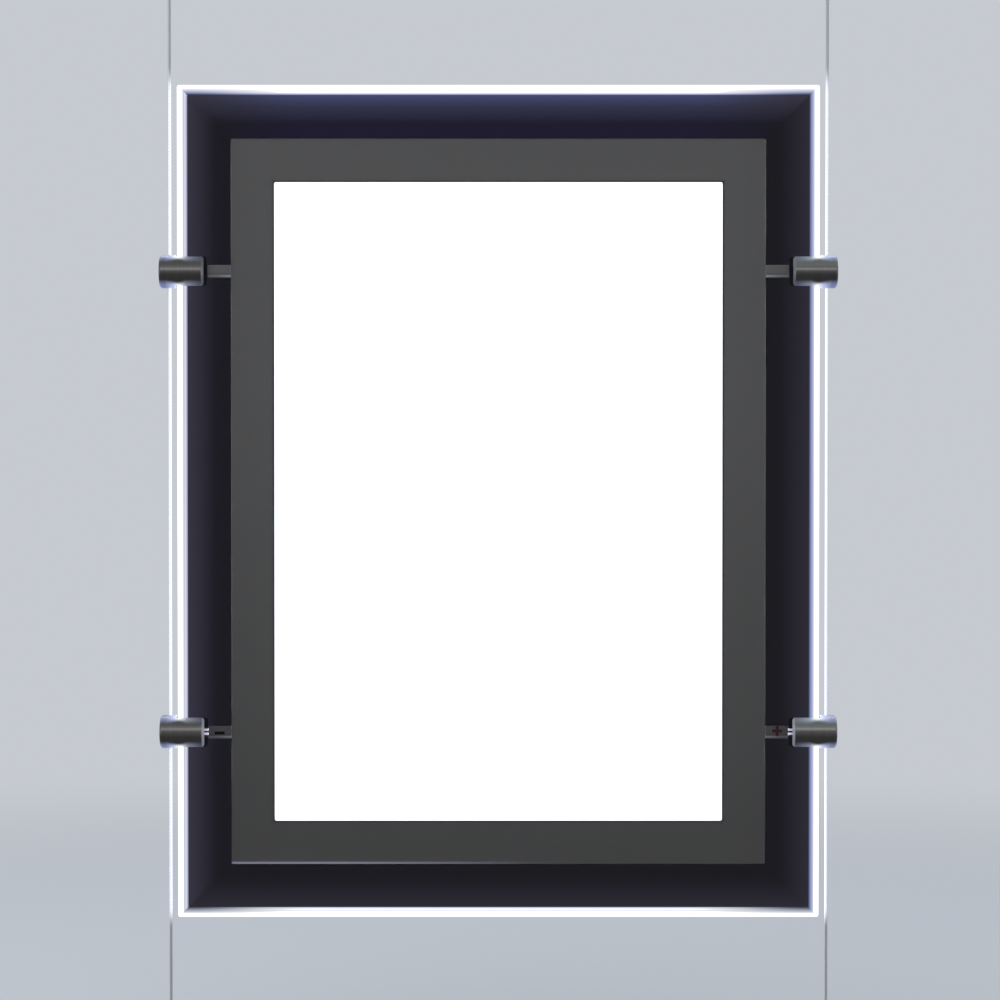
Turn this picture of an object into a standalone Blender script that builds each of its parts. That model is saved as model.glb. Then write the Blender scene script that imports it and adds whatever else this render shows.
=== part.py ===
"""A4 poster display of clear acrylic, lit from inside and hung between two live steel cables.

Metres, +Z up, +X to the right, +Y away from the viewer. The origin lies on the ceiling plane, midway
between the two ceiling fixings. Every piece is placed from the sizes below, so a changed size carries
its neighbours with it.
"""

import math

import bmesh
import bpy
from mathutils import Matrix, Vector

# Clearances
SHEET_GAP = 0.0001
SEAT_GAP = 0.0003
THREAD_GAP = 0.0001
CUT_OVERRUN = 0.002
MERGE_DISTANCE = 0.000001

# Poster, and the border that frames it
POSTER_WIDTH = 0.210
POSTER_HEIGHT = 0.297
POSTER_THICKNESS = 0.0002
POSTER_OVERLAP = 0.0029
BORDER_WIDTH = 0.0196
WINDOW_CORNER = 0.0008
FILM_THICKNESS = 0.0001
COVER_THICKNESS = 0.0020
COVER_PROUD = 0.0005
COVER_CORNER = 0.0006
COVER_CHAMFER = 0.0003

# Light guide and what lies on it
GUIDE_MARGIN = 0.0020
GUIDE_THICKNESS = 0.0020
GUIDE_CORNER = 0.0005
DIFFUSER_THICKNESS = 0.0003
REFLECTOR_THICKNESS = 0.0002
SHEET_CORNER = 0.0003

# LED boards
LED_PITCH = 0.0120
LED_LENGTH = 0.0030
LED_WIDTH = 0.0016
LED_DEPTH = 0.0009
LED_SEAT = 0.0002
BOARD_THICKNESS = 0.0008
BOARD_SHORTER = 0.0050
RIBBON_THICKNESS = 0.0003
RIBBON_WIDTH = 0.0022
RIBBON_TAB = 0.0095

# Base panel
CLEAR_MARGIN = 0.0248
PANEL_THICKNESS = 0.0060
PANEL_CORNER = 0.0010
RIM_BEVEL_WIDTH = 0.0034
RIM_BEVEL_DEPTH = 0.0032
LIP_BEVEL_WIDTH = 0.0016
LIP_BEVEL_DEPTH = 0.0004
BACK_CHAMFER = 0.0004
POCKET_CORNER = 0.0010

# Magnets in the four corners of the ledge
MAGNET_RADIUS = 0.0040
MAGNET_THICKNESS = 0.0010

# Cable and clamps
CABLE_RADIUS = 0.00075
CABLE_TO_PANEL = 0.0034
CLAMP_FROM_EDGE = 0.0850
BARREL_RADIUS = 0.0076
BARREL_LENGTH = 0.0201
BARREL_PAST_CABLE = 0.0043
BARREL_CHAMFER = 0.0008
LINER_THICKNESS = 0.0004
LINER_LIP_WIDTH = 0.0014
LINER_LIP_HEIGHT = 0.0008
LINER_CORNER = 0.0012
LOCK_SCREW_RADIUS = 0.0020
LOCK_SCREW_RECESS = 0.0003
PANEL_SCREW_RADIUS = 0.0015
PANEL_SCREW_RECESS = 0.0005
SCREW_CHAMFER = 0.0003
HEX_SHARE = 0.55
HEX_DEPTH = 0.0014
PIN_RADIUS = 0.00185
PIN_PAST_BARREL = 0.0023
PIN_CHAMFER = 0.0004
PIN_SPIGOT_RADIUS = 0.0012
PIN_SPIGOT_LENGTH = 0.0008
PIN_SLIT_WIDTH = 0.0012
PIN_SLIT_LENGTH = 0.0050

# Ducts between clamps and border
TAB_WIDTH = 0.0055
TAB_THICKNESS = 0.0008
TAB_CHAMFER = 0.0003
TAB_FROM_LINER = 0.0004
TERMINAL_RADIUS = 0.0015
TERMINAL_LENGTH = 0.0040
TONGUE_LENGTH = 0.0030
TONGUE_WIDTH = 0.0024
WIRE_RADIUS = 0.0005
WIRE_IN_TERMINAL = 0.0020
WIRE_SWAY = 0.0006

# Fixings on ceiling and floor
PANEL_CENTRE_DROP = 0.2620
FLOOR_DROP = 0.5390
FIXING_RADIUS = 0.0095
FLOOR_FLANGE_RADIUS = 0.0120
FLANGE_THICKNESS = 0.0025
FLANGE_CHAMFER = 0.0006
SPIGOT_RADIUS = 0.0068
CEILING_SPIGOT_LENGTH = 0.0090
FLOOR_SPIGOT_LENGTH = 0.0140
CEILING_CAP_LENGTH = 0.0265
TENSION_BARREL_LENGTH = 0.0420
NOSE_RADIUS = 0.0042
NOSE_TAPER = 0.0090
NOSE_WALL = 0.0050
NOSE_CHAMFER = 0.0006
SOCKET_ROOM = 0.0012
FIXING_HOLE_RADIUS = 0.0022
COUNTERSINK_RADIUS = 0.0036
FEED_HOLE_RADIUS = 0.0010
FEED_HOLE_OFFSET = 0.0052
STOP_RADIUS = 0.0032
STOP_LENGTH = 0.0085
STOP_CHAMFER = 0.0005
STOP_BORE_DEPTH = 0.0055
SOLDER_CUP_RADIUS = 0.0011
SOLDER_CUP_DEPTH = 0.0020
BAR_HOLE_RADIUS = 0.0015
BAR_HOLE_DEPTH = 0.0014
BAR_HOLE_COUNT = 4

# Facets of round pieces
CORNER_STEPS = 3
BARREL_STEPS = 36
FIXING_STEPS = 28
SMALL_STEPS = 16
HEX_STEPS = 6
WIRE_POINTS = 10
SHARP_ANGLE = math.radians(35)

# Layers of the display, front to back, from the panel's middle plane
PANEL_FRONT = -PANEL_THICKNESS / 2
PANEL_BACK = PANEL_THICKNESS / 2
COVER_FRONT = PANEL_FRONT - COVER_PROUD
COVER_BACK = COVER_FRONT + COVER_THICKNESS
FILM_FRONT = COVER_BACK + SHEET_GAP
FILM_BACK = FILM_FRONT + FILM_THICKNESS
LEDGE = FILM_BACK + SHEET_GAP
POSTER_FRONT = LEDGE + SHEET_GAP
POSTER_BACK = POSTER_FRONT + POSTER_THICKNESS
DIFFUSER_FRONT = POSTER_BACK + SHEET_GAP
DIFFUSER_BACK = DIFFUSER_FRONT + DIFFUSER_THICKNESS
GUIDE_FRONT = DIFFUSER_BACK + SHEET_GAP
GUIDE_BACK = GUIDE_FRONT + GUIDE_THICKNESS
REFLECTOR_FRONT = GUIDE_BACK + SHEET_GAP
REFLECTOR_BACK = REFLECTOR_FRONT + REFLECTOR_THICKNESS
POCKET_FLOOR = REFLECTOR_BACK + SHEET_GAP
GUIDE_MIDDLE = (GUIDE_FRONT + GUIDE_BACK) / 2
COVER_MAGNET_FRONT = FILM_BACK + SHEET_GAP
COVER_MAGNET_BACK = COVER_MAGNET_FRONT + MAGNET_THICKNESS
BASE_MAGNET_FRONT = COVER_MAGNET_BACK + SEAT_GAP
BASE_MAGNET_BACK = BASE_MAGNET_FRONT + MAGNET_THICKNESS
MAGNET_HOLE_FLOOR = BASE_MAGNET_BACK + SHEET_GAP

# Half sizes across and up, from the poster outwards
WINDOW_X = POSTER_WIDTH / 2 - POSTER_OVERLAP
WINDOW_Z = POSTER_HEIGHT / 2 - POSTER_OVERLAP
COVER_X = WINDOW_X + BORDER_WIDTH
COVER_Z = WINDOW_Z + BORDER_WIDTH
PANEL_X = COVER_X + CLEAR_MARGIN
PANEL_Z = COVER_Z + CLEAR_MARGIN
SEAT_X = COVER_X + SEAT_GAP
SEAT_Z = COVER_Z + SEAT_GAP
GUIDE_X = POSTER_WIDTH / 2 + GUIDE_MARGIN
GUIDE_Z = POSTER_HEIGHT / 2 + GUIDE_MARGIN
LED_FACE_X = GUIDE_X + SEAT_GAP
BOARD_FACE_X = LED_FACE_X + LED_DEPTH
BOARD_BACK_X = BOARD_FACE_X + BOARD_THICKNESS
BOARD_HALF = GUIDE_Z - BOARD_SHORTER
LED_COUNT = int(2 * BOARD_HALF / LED_PITCH)
POCKET_X = BOARD_BACK_X + SEAT_GAP
POCKET_Z = GUIDE_Z + RIBBON_THICKNESS + 2 * SEAT_GAP
MAGNET_X = (SEAT_X + POCKET_X) / 2
MAGNET_Z = (SEAT_Z + POCKET_Z) / 2

# Clamps: their place in the display, and along their own axis from the cable towards the panel
CABLE_X = PANEL_X + CABLE_TO_PANEL
CLAMP_Z = PANEL_Z - CLAMP_FROM_EDGE
CABLE_BORE_RADIUS = CABLE_RADIUS + SEAT_GAP
BARREL_MOUTH = BARREL_LENGTH - BARREL_PAST_CABLE
SLOT_HALF = PANEL_THICKNESS / 2 + LINER_THICKNESS + 2 * SHEET_GAP
LINER_HALF = SLOT_HALF - SHEET_GAP
SLOT_END = CABLE_TO_PANEL - LINER_THICKNESS - 2 * SHEET_GAP
LINER_TIP = BARREL_MOUTH + SHEET_GAP + LINER_LIP_WIDTH
CHEEK_HALF = math.sqrt(BARREL_RADIUS ** 2 - SLOT_HALF ** 2) - SHEET_GAP
PIN_HOLE_RADIUS = PIN_RADIUS + SEAT_GAP
PIN_TIP = BARREL_MOUTH + PIN_PAST_BARREL
PANEL_SCREW_X = (SLOT_END + BARREL_MOUTH) / 2
TAB_TIP = LINER_TIP + TAB_FROM_LINER
DUCT_END_X = CABLE_X - TAB_TIP + SHEET_GAP
DUCT_HALF = TAB_WIDTH / 2 + SHEET_GAP
TERMINAL_START = PIN_TIP + SEAT_GAP
TERMINAL_END = TERMINAL_START + TERMINAL_LENGTH
CAVITY_RADIUS = STOP_RADIUS + SEAT_GAP
SOCKET_RADIUS = SPIGOT_RADIUS + THREAD_GAP
RIM_HEIGHT = FLANGE_THICKNESS + SEAT_GAP

SIDES = (("left", -1), ("right", 1))
LEVELS = (("upper", 1), ("lower", -1))


# Shape tools

def shaded(mesh):
    """Smooth round surfaces with crisp edges between faces."""
    mesh.shade_smooth()
    mesh.set_sharp_from_angle(angle=SHARP_ANGLE)
    return mesh


def finished(shape, name):
    """A mesh from the shape, with its faces turned outwards."""
    bmesh.ops.recalc_face_normals(shape, faces=shape.faces)
    mesh = bpy.data.meshes.new(name)
    shape.to_mesh(mesh)
    shape.free()
    return shaded(mesh)


def rounded_rectangle(half_x, half_z, radius):
    """Points round a rectangle with round corners, as (x, z)."""
    points = []
    corners = ((1, 1), (-1, 1), (-1, -1), (1, -1))
    for turn, (side_x, side_z) in enumerate(corners):
        for step in range(CORNER_STEPS + 1):
            angle = math.radians(90) * (turn + step / CORNER_STEPS)
            x = side_x * (half_x - radius) + radius * math.cos(angle)
            z = side_z * (half_z - radius) + radius * math.sin(angle)
            points.append((x, z))
    return points


def stacked(name, levels, ring=False):
    """Skin over rounded rectangles (half x, half z, corner radius, y), each joined to the next.

    A ring joins the last one to the first again, and any other stack is closed at both ends.
    """
    shape = bmesh.new()
    loops = []
    for half_x, half_z, radius, y in levels:
        outline = rounded_rectangle(half_x, half_z, radius)
        loops.append([shape.verts.new((x, y, z)) for x, z in outline])
    pairs = list(zip(loops, loops[1:]))
    if ring:
        pairs.append((loops[-1], loops[0]))
    else:
        shape.faces.new(loops[0])
        shape.faces.new(loops[-1])
    for near, far in pairs:
        for i in range(len(near)):
            j = (i + 1) % len(near)
            shape.faces.new((near[i], near[j], far[j], far[i]))
    return finished(shape, name)


def sheet(name, half_x, half_z, radius, front, back):
    """Flat sheet with round corners."""
    return stacked(name, ((half_x, half_z, radius, front), (half_x, half_z, radius, back)))


def turned(name, profile, steps):
    """Solid of revolution about Z from (radius, height) points; one on the axis closes it there."""
    shape = bmesh.new()
    points = [shape.verts.new((radius, 0, height)) for radius, height in profile]
    edges = [shape.edges.new(pair) for pair in zip(points, points[1:])]
    if profile[0][0] > 0:
        edges.append(shape.edges.new((points[-1], points[0])))
    bmesh.ops.spin(
        shape, geom=points + edges, axis=(0, 0, 1), angle=math.tau, steps=steps, use_merge=True
    )
    bmesh.ops.remove_doubles(shape, verts=shape.verts, dist=MERGE_DISTANCE)
    return finished(shape, name)


def rod(radius, start, end, steps):
    """Plain cylinder between two points, for drilling or for a round pin."""
    way = Vector(end) - Vector(start)
    place = Matrix.Translation((Vector(start) + Vector(end)) / 2)
    turn = Vector((0, 0, 1)).rotation_difference(way).to_matrix().to_4x4()
    shape = bmesh.new()
    bmesh.ops.create_cone(
        shape, cap_ends=True, segments=steps, radius1=radius, radius2=radius,
        depth=way.length, matrix=place @ turn,
    )
    return finished(shape, "rod")


def block(low, high):
    """Plain box between two corners."""
    size = Vector(high) - Vector(low)
    place = Matrix.Translation((Vector(low) + Vector(high)) / 2)
    shape = bmesh.new()
    bmesh.ops.create_cube(shape, size=1, matrix=place @ Matrix.Diagonal(size).to_4x4())
    return finished(shape, "block")


def extruded(name, outline, low, high, upright=False):
    """Outline in X and Y drawn out along Z or, upright, an outline in X and Z drawn out along Y."""
    shape = bmesh.new()
    ends = []
    for depth in (low, high):
        places = [(u, depth, v) if upright else (u, v, depth) for u, v in outline]
        ends.append([shape.verts.new(place) for place in places])
    shape.faces.new(ends[0])
    shape.faces.new(ends[1])
    for i in range(len(outline)):
        j = (i + 1) % len(outline)
        shape.faces.new((ends[0][i], ends[0][j], ends[1][j], ends[1][i]))
    return finished(shape, name)


def combined(mesh, others, operation):
    """The mesh with the others cut from it or joined to it, one after another."""
    body = bpy.data.objects.new("work", mesh)
    helpers = [body]
    for other in others:
        helper = bpy.data.objects.new("tool", other)
        helper.hide_render = True
        helper.display_type = "WIRE"
        modifier = body.modifiers.new("step", "BOOLEAN")
        modifier.operation = operation
        modifier.solver = "EXACT"
        modifier.object = helper
        helpers.append(helper)
    for helper in helpers:
        bpy.context.scene.collection.objects.link(helper)
    graph = bpy.context.evaluated_depsgraph_get()
    result = bpy.data.meshes.new_from_object(body.evaluated_get(graph), depsgraph=graph)
    for helper in helpers:
        bpy.data.objects.remove(helper)
    shape = bmesh.new()
    shape.from_mesh(result)
    bmesh.ops.remove_doubles(shape, verts=shape.verts, dist=MERGE_DISTANCE)
    return finished(shape, mesh.name)


def cut(mesh, tools):
    return combined(mesh, tools, "DIFFERENCE")


def joined(mesh, additions):
    return combined(mesh, additions, "UNION")


# Scene tools

def clear_scene():
    for obj in list(bpy.data.objects):
        bpy.data.objects.remove(obj)


def empty(name, parent, location, rotation=(0, 0, 0)):
    """Frame that carries pieces: a place and a direction, with no shape of its own."""
    obj = bpy.data.objects.new(name, None)
    obj.parent = parent
    obj.location = location
    obj.rotation_euler = rotation
    bpy.context.scene.collection.objects.link(obj)
    return obj


def piece(name, data, material, parent, location=(0, 0, 0)):
    """One named sub-part on its frame."""
    obj = bpy.data.objects.new(name, data)
    if material.name not in data.materials:
        data.materials.append(material)
    obj.parent = parent
    obj.location = location
    bpy.context.scene.collection.objects.link(obj)
    return obj


def material(name, colour, roughness, metallic=0.0, transmission=0.0, glow=0.0):
    made = bpy.data.materials.new(name)
    made.use_nodes = True
    shader = made.node_tree.nodes["Principled BSDF"]
    shader.inputs["Base Color"].default_value = (*colour, 1.0)
    shader.inputs["Roughness"].default_value = roughness
    shader.inputs["Metallic"].default_value = metallic
    shader.inputs["Transmission Weight"].default_value = transmission
    shader.inputs["Emission Color"].default_value = (*colour, 1.0)
    shader.inputs["Emission Strength"].default_value = glow
    return made


def clear_acrylic():
    return material("clear_cast_acrylic", (0.97, 0.98, 1.0), 0.03, transmission=1.0)


def smoke_acrylic():
    return material("smoke_cast_acrylic", (0.30, 0.31, 0.36), 0.03, transmission=0.8)


def satin_nickel():
    return material("satin_nickel", (0.42, 0.41, 0.39), 0.32, metallic=1.0)


def plated_brass():
    return material("plated_brass", (0.72, 0.60, 0.34), 0.30, metallic=1.0)


def bright_nickel():
    return material("bright_nickel", (0.80, 0.80, 0.82), 0.15, metallic=1.0)


def border_grey():
    return material("border_grey", (0.072, 0.072, 0.074), 0.55)


# Fixings: a base screwed to the building, a cap or barrel over it, and the cable's stop inside.
# Each is drawn with the building's surface at height zero and the cable leaving upwards.

def base_profile(flange_radius, spigot_length):
    top = FLANGE_THICKNESS + spigot_length
    sink = COUNTERSINK_RADIUS - FIXING_HOLE_RADIUS
    return (
        (FIXING_HOLE_RADIUS, 0),
        (flange_radius, 0),
        (flange_radius, FLANGE_THICKNESS - FLANGE_CHAMFER),
        (flange_radius - FLANGE_CHAMFER, FLANGE_THICKNESS),
        (SPIGOT_RADIUS, FLANGE_THICKNESS),
        (SPIGOT_RADIUS, top - FLANGE_CHAMFER),
        (SPIGOT_RADIUS - FLANGE_CHAMFER, top),
        (COUNTERSINK_RADIUS, top),
        (FIXING_HOLE_RADIUS, top - sink),
    )


def cap_profile(length, spigot_length):
    """Cup with a tapered nose: socket for the spigot, cavity for the stop, bore for the cable."""
    socket_depth = spigot_length + SOCKET_ROOM
    shoulder = socket_depth + SOCKET_RADIUS - CAVITY_RADIUS
    return (
        (SOCKET_RADIUS, 0),
        (FIXING_RADIUS - NOSE_CHAMFER, 0),
        (FIXING_RADIUS, NOSE_CHAMFER),
        (FIXING_RADIUS, length - NOSE_TAPER),
        (NOSE_RADIUS, length - NOSE_CHAMFER),
        (NOSE_RADIUS - NOSE_CHAMFER, length),
        (CABLE_BORE_RADIUS, length),
        (CABLE_BORE_RADIUS, length - NOSE_WALL),
        (CAVITY_RADIUS, length - NOSE_WALL),
        (CAVITY_RADIUS, shoulder),
        (SOCKET_RADIUS, socket_depth),
    )


def stop_mesh():
    """Ferrule that hangs from its cable: a bore in its face, a cup for the feed wire behind."""
    profile = (
        (0, -STOP_BORE_DEPTH),
        (CABLE_BORE_RADIUS, -STOP_BORE_DEPTH),
        (CABLE_BORE_RADIUS, 0),
        (STOP_RADIUS - STOP_CHAMFER, 0),
        (STOP_RADIUS, -STOP_CHAMFER),
        (STOP_RADIUS, STOP_CHAMFER - STOP_LENGTH),
        (STOP_RADIUS - STOP_CHAMFER, -STOP_LENGTH),
        (SOLDER_CUP_RADIUS, -STOP_LENGTH),
        (SOLDER_CUP_RADIUS, SOLDER_CUP_DEPTH - STOP_LENGTH),
        (0, SOLDER_CUP_DEPTH - STOP_LENGTH),
    )
    return turned("cable_stop", profile, SMALL_STEPS)


def stop_height(cap_length):
    """Height of the stop's face under the nose, above the building's surface."""
    return RIM_HEIGHT + cap_length - NOSE_WALL - SEAT_GAP


def ceiling_base_mesh():
    """Base with a second, smaller hole for the wire that feeds the cable."""
    base = turned("ceiling_base", base_profile(FIXING_RADIUS, CEILING_SPIGOT_LENGTH), FIXING_STEPS)
    top = FLANGE_THICKNESS + CEILING_SPIGOT_LENGTH + CUT_OVERRUN
    start = (FEED_HOLE_OFFSET, 0, -CUT_OVERRUN)
    return cut(base, [rod(FEED_HOLE_RADIUS, start, (FEED_HOLE_OFFSET, 0, top), SMALL_STEPS)])


def tension_barrel_mesh():
    """Tall cap with blind holes round its foot for the bar that turns it."""
    barrel = turned(
        "tension_barrel", cap_profile(TENSION_BARREL_LENGTH, FLOOR_SPIGOT_LENGTH), FIXING_STEPS
    )
    height = FLOOR_SPIGOT_LENGTH / 2
    reach = FIXING_RADIUS + CUT_OVERRUN
    bottom = FIXING_RADIUS - BAR_HOLE_DEPTH
    tools = []
    for i in range(BAR_HOLE_COUNT):
        angle = math.tau * i / BAR_HOLE_COUNT
        way = Vector((math.cos(angle), math.sin(angle), 0))
        lift = Vector((0, 0, height))
        tools.append(rod(BAR_HOLE_RADIUS, way * bottom + lift, way * reach + lift, SMALL_STEPS))
    return cut(barrel, tools)


def build_fixings(nickel, brass):
    ceiling_base = ceiling_base_mesh()
    ceiling_cap = turned(
        "ceiling_cap", cap_profile(CEILING_CAP_LENGTH, CEILING_SPIGOT_LENGTH), FIXING_STEPS
    )
    floor_base = turned(
        "floor_base", base_profile(FLOOR_FLANGE_RADIUS, FLOOR_SPIGOT_LENGTH), FIXING_STEPS
    )
    barrel = tension_barrel_mesh()
    stop = stop_mesh()
    for side, sign in SIDES:
        ceiling = empty(f"ceiling_fixing_{side}", None, (sign * CABLE_X, 0, 0), (math.pi, 0, 0))
        piece(f"ceiling_base_{side}", ceiling_base, nickel, ceiling)
        piece(f"ceiling_cap_{side}", ceiling_cap, nickel, ceiling, (0, 0, RIM_HEIGHT))
        height = stop_height(CEILING_CAP_LENGTH)
        piece(f"upper_cable_stop_{side}", stop, brass, ceiling, (0, 0, height))
        floor = empty(f"floor_fixing_{side}", None, (sign * CABLE_X, 0, -FLOOR_DROP))
        piece(f"floor_base_{side}", floor_base, nickel, floor)
        piece(f"tension_barrel_{side}", barrel, nickel, floor, (0, 0, RIM_HEIGHT))
        height = stop_height(TENSION_BARREL_LENGTH)
        piece(f"lower_cable_stop_{side}", stop, brass, floor, (0, 0, height))


# Cables: taut steel ropes from stop to stop

def build_cables():
    steel = material("steel_rope", (0.50, 0.50, 0.51), 0.35, metallic=1.0)
    inside = STOP_BORE_DEPTH - SEAT_GAP
    top = inside - stop_height(CEILING_CAP_LENGTH)
    bottom = stop_height(TENSION_BARREL_LENGTH) - FLOOR_DROP - inside
    for side, sign in SIDES:
        curve = bpy.data.curves.new(f"cable_{side}", "CURVE")
        curve.dimensions = "3D"
        curve.bevel_depth = CABLE_RADIUS
        curve.bevel_resolution = 2
        curve.use_fill_caps = True
        spline = curve.splines.new("POLY")
        spline.points.add(1)
        spline.points[0].co = (0, 0, top, 1)
        spline.points[1].co = (0, 0, bottom, 1)
        piece(f"cable_{side}", curve, steel, None, (sign * CABLE_X, 0, 0))


# Base panel: a bevelled acrylic slab with a stepped recess in its front

def panel_slab():
    """Bevelled slab with the seat for the cover sunk in its front."""
    side_front = PANEL_FRONT + LIP_BEVEL_DEPTH + RIM_BEVEL_DEPTH
    lip = RIM_BEVEL_WIDTH
    face = RIM_BEVEL_WIDTH + LIP_BEVEL_WIDTH
    levels = (
        (PANEL_X - BACK_CHAMFER, PANEL_Z - BACK_CHAMFER, PANEL_CORNER, PANEL_BACK),
        (PANEL_X, PANEL_Z, PANEL_CORNER, PANEL_BACK - BACK_CHAMFER),
        (PANEL_X, PANEL_Z, PANEL_CORNER, side_front),
        (PANEL_X - lip, PANEL_Z - lip, PANEL_CORNER, PANEL_FRONT + LIP_BEVEL_DEPTH),
        (PANEL_X - face, PANEL_Z - face, PANEL_CORNER, PANEL_FRONT),
        (SEAT_X, SEAT_Z, POCKET_CORNER, PANEL_FRONT),
        (SEAT_X, SEAT_Z, POCKET_CORNER, LEDGE),
    )
    return stacked("base_panel", levels)


def pocket_tool():
    return sheet("pocket", POCKET_X, POCKET_Z, POCKET_CORNER, LEDGE - CUT_OVERRUN, POCKET_FLOOR)


def duct_tool(sign, z):
    """Groove from the pocket out to the clamp, open to the front."""
    inner = POCKET_X - CUT_OVERRUN
    low_x, high_x = sorted((sign * inner, sign * DUCT_END_X))
    low = (low_x, PANEL_FRONT - CUT_OVERRUN, z - DUCT_HALF)
    return block(low, (high_x, POCKET_FLOOR - SHEET_GAP, z + DUCT_HALF))


def pin_hole_tool(sign, z):
    start = (sign * (PANEL_X + CUT_OVERRUN), 0, z)
    return rod(PIN_HOLE_RADIUS, start, (sign * (DUCT_END_X - CUT_OVERRUN), 0, z), SMALL_STEPS)


def magnet_hole_tool(x, z):
    start = (x, LEDGE - CUT_OVERRUN, z)
    return rod(MAGNET_RADIUS + SEAT_GAP, start, (x, MAGNET_HOLE_FLOOR, z), SMALL_STEPS)


def base_panel_mesh():
    tools = [pocket_tool()]
    for _, sign in SIDES:
        for level, up in LEVELS:
            tools.append(duct_tool(sign, up * CLAMP_Z))
            tools.append(magnet_hole_tool(sign * MAGNET_X, up * MAGNET_Z))
            if level == "lower":
                tools.append(pin_hole_tool(sign, up * CLAMP_Z))
    return cut(panel_slab(), tools)


# Light guide with its reflector, diffuser and poster

def build_light_stack(display):
    white_film = material("white_reflector_film", (0.90, 0.91, 0.92), 0.40)
    guide = material("light_guide_acrylic", (0.93, 0.96, 1.0), 0.12, transmission=0.8, glow=0.6)
    opal = material("opal_film", (0.95, 0.96, 0.97), 0.60, transmission=0.4, glow=0.8)
    paper = material("backlit_paper", (0.97, 0.97, 0.97), 0.80, glow=1.0)
    piece(
        "reflector_sheet",
        sheet("reflector", GUIDE_X, GUIDE_Z, SHEET_CORNER, REFLECTOR_FRONT, REFLECTOR_BACK),
        white_film, display,
    )
    piece(
        "light_guide",
        sheet("guide", GUIDE_X, GUIDE_Z, GUIDE_CORNER, GUIDE_FRONT, GUIDE_BACK),
        guide, display,
    )
    piece(
        "diffuser_sheet",
        sheet("diffuser", GUIDE_X, GUIDE_Z, SHEET_CORNER, DIFFUSER_FRONT, DIFFUSER_BACK),
        opal, display,
    )
    half_x, half_z = POSTER_WIDTH / 2, POSTER_HEIGHT / 2
    piece(
        "poster_sheet",
        sheet("poster", half_x, half_z, SHEET_CORNER, POSTER_FRONT, POSTER_BACK),
        paper, display,
    )


# LED boards stand on edge beside the guide, their LEDs facing its long sides

def led_board_mesh():
    """Board with its LEDs towards -X, its back at x = zero."""
    front = GUIDE_FRONT - DIFFUSER_THICKNESS
    back = GUIDE_BACK + REFLECTOR_THICKNESS
    board = block((-BOARD_THICKNESS, front, -BOARD_HALF), (0, back, BOARD_HALF))
    board.name = "led_board"
    chips = []
    for i in range(LED_COUNT):
        z = (i - (LED_COUNT - 1) / 2) * LED_PITCH
        low = (-BOARD_THICKNESS - LED_DEPTH, GUIDE_MIDDLE - LED_WIDTH / 2, z - LED_LENGTH / 2)
        high = (LED_SEAT - BOARD_THICKNESS, GUIDE_MIDDLE + LED_WIDTH / 2, z + LED_LENGTH / 2)
        chips.append(block(low, high))
    return joined(board, chips)


def ribbon_mesh():
    """Flat two-core ribbon under the guide, its ends turned up against both boards."""
    bottom = SEAT_GAP - POCKET_Z
    top = bottom + RIBBON_THICKNESS
    outside = BOARD_FACE_X - SHEET_GAP
    inside = outside - RIBBON_THICKNESS
    tip = bottom + RIBBON_TAB
    outline = (
        (-outside, bottom), (outside, bottom), (outside, tip), (inside, tip),
        (inside, top), (-inside, top), (-inside, tip), (-outside, tip),
    )
    front = GUIDE_MIDDLE - RIBBON_WIDTH / 2
    return extruded("link_ribbon", outline, front, front + RIBBON_WIDTH, upright=True)


def build_led_boards(display):
    white_board = material("white_board", (0.85, 0.86, 0.85), 0.35)
    tinned = material("ribbon_polyimide", (0.62, 0.35, 0.08), 0.40)
    board = led_board_mesh()
    right = piece("led_board_right", board, white_board, display, (BOARD_BACK_X, 0, 0))
    left = piece("led_board_left", board, white_board, display, (-BOARD_BACK_X, 0, 0))
    right.rotation_euler = (0, 0, 0)
    left.rotation_euler = (0, math.pi, 0)
    piece("link_ribbon", ribbon_mesh(), tinned, display)


# Clamps, drawn along X from the cable, at zero, towards the panel

def grub_screw(name, radius, length, steps):
    """Headless screw on Z with its hex socket at the top."""
    profile = (
        (0, 0),
        (radius - SCREW_CHAMFER, 0),
        (radius, SCREW_CHAMFER),
        (radius, length - SCREW_CHAMFER),
        (radius - SCREW_CHAMFER, length),
        (0, length),
    )
    screw = turned(name, profile, steps)
    bottom = (0, 0, length - HEX_DEPTH)
    top = (0, 0, length + CUT_OVERRUN)
    return cut(screw, [rod(HEX_SHARE * radius, bottom, top, HEX_STEPS)])


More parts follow.
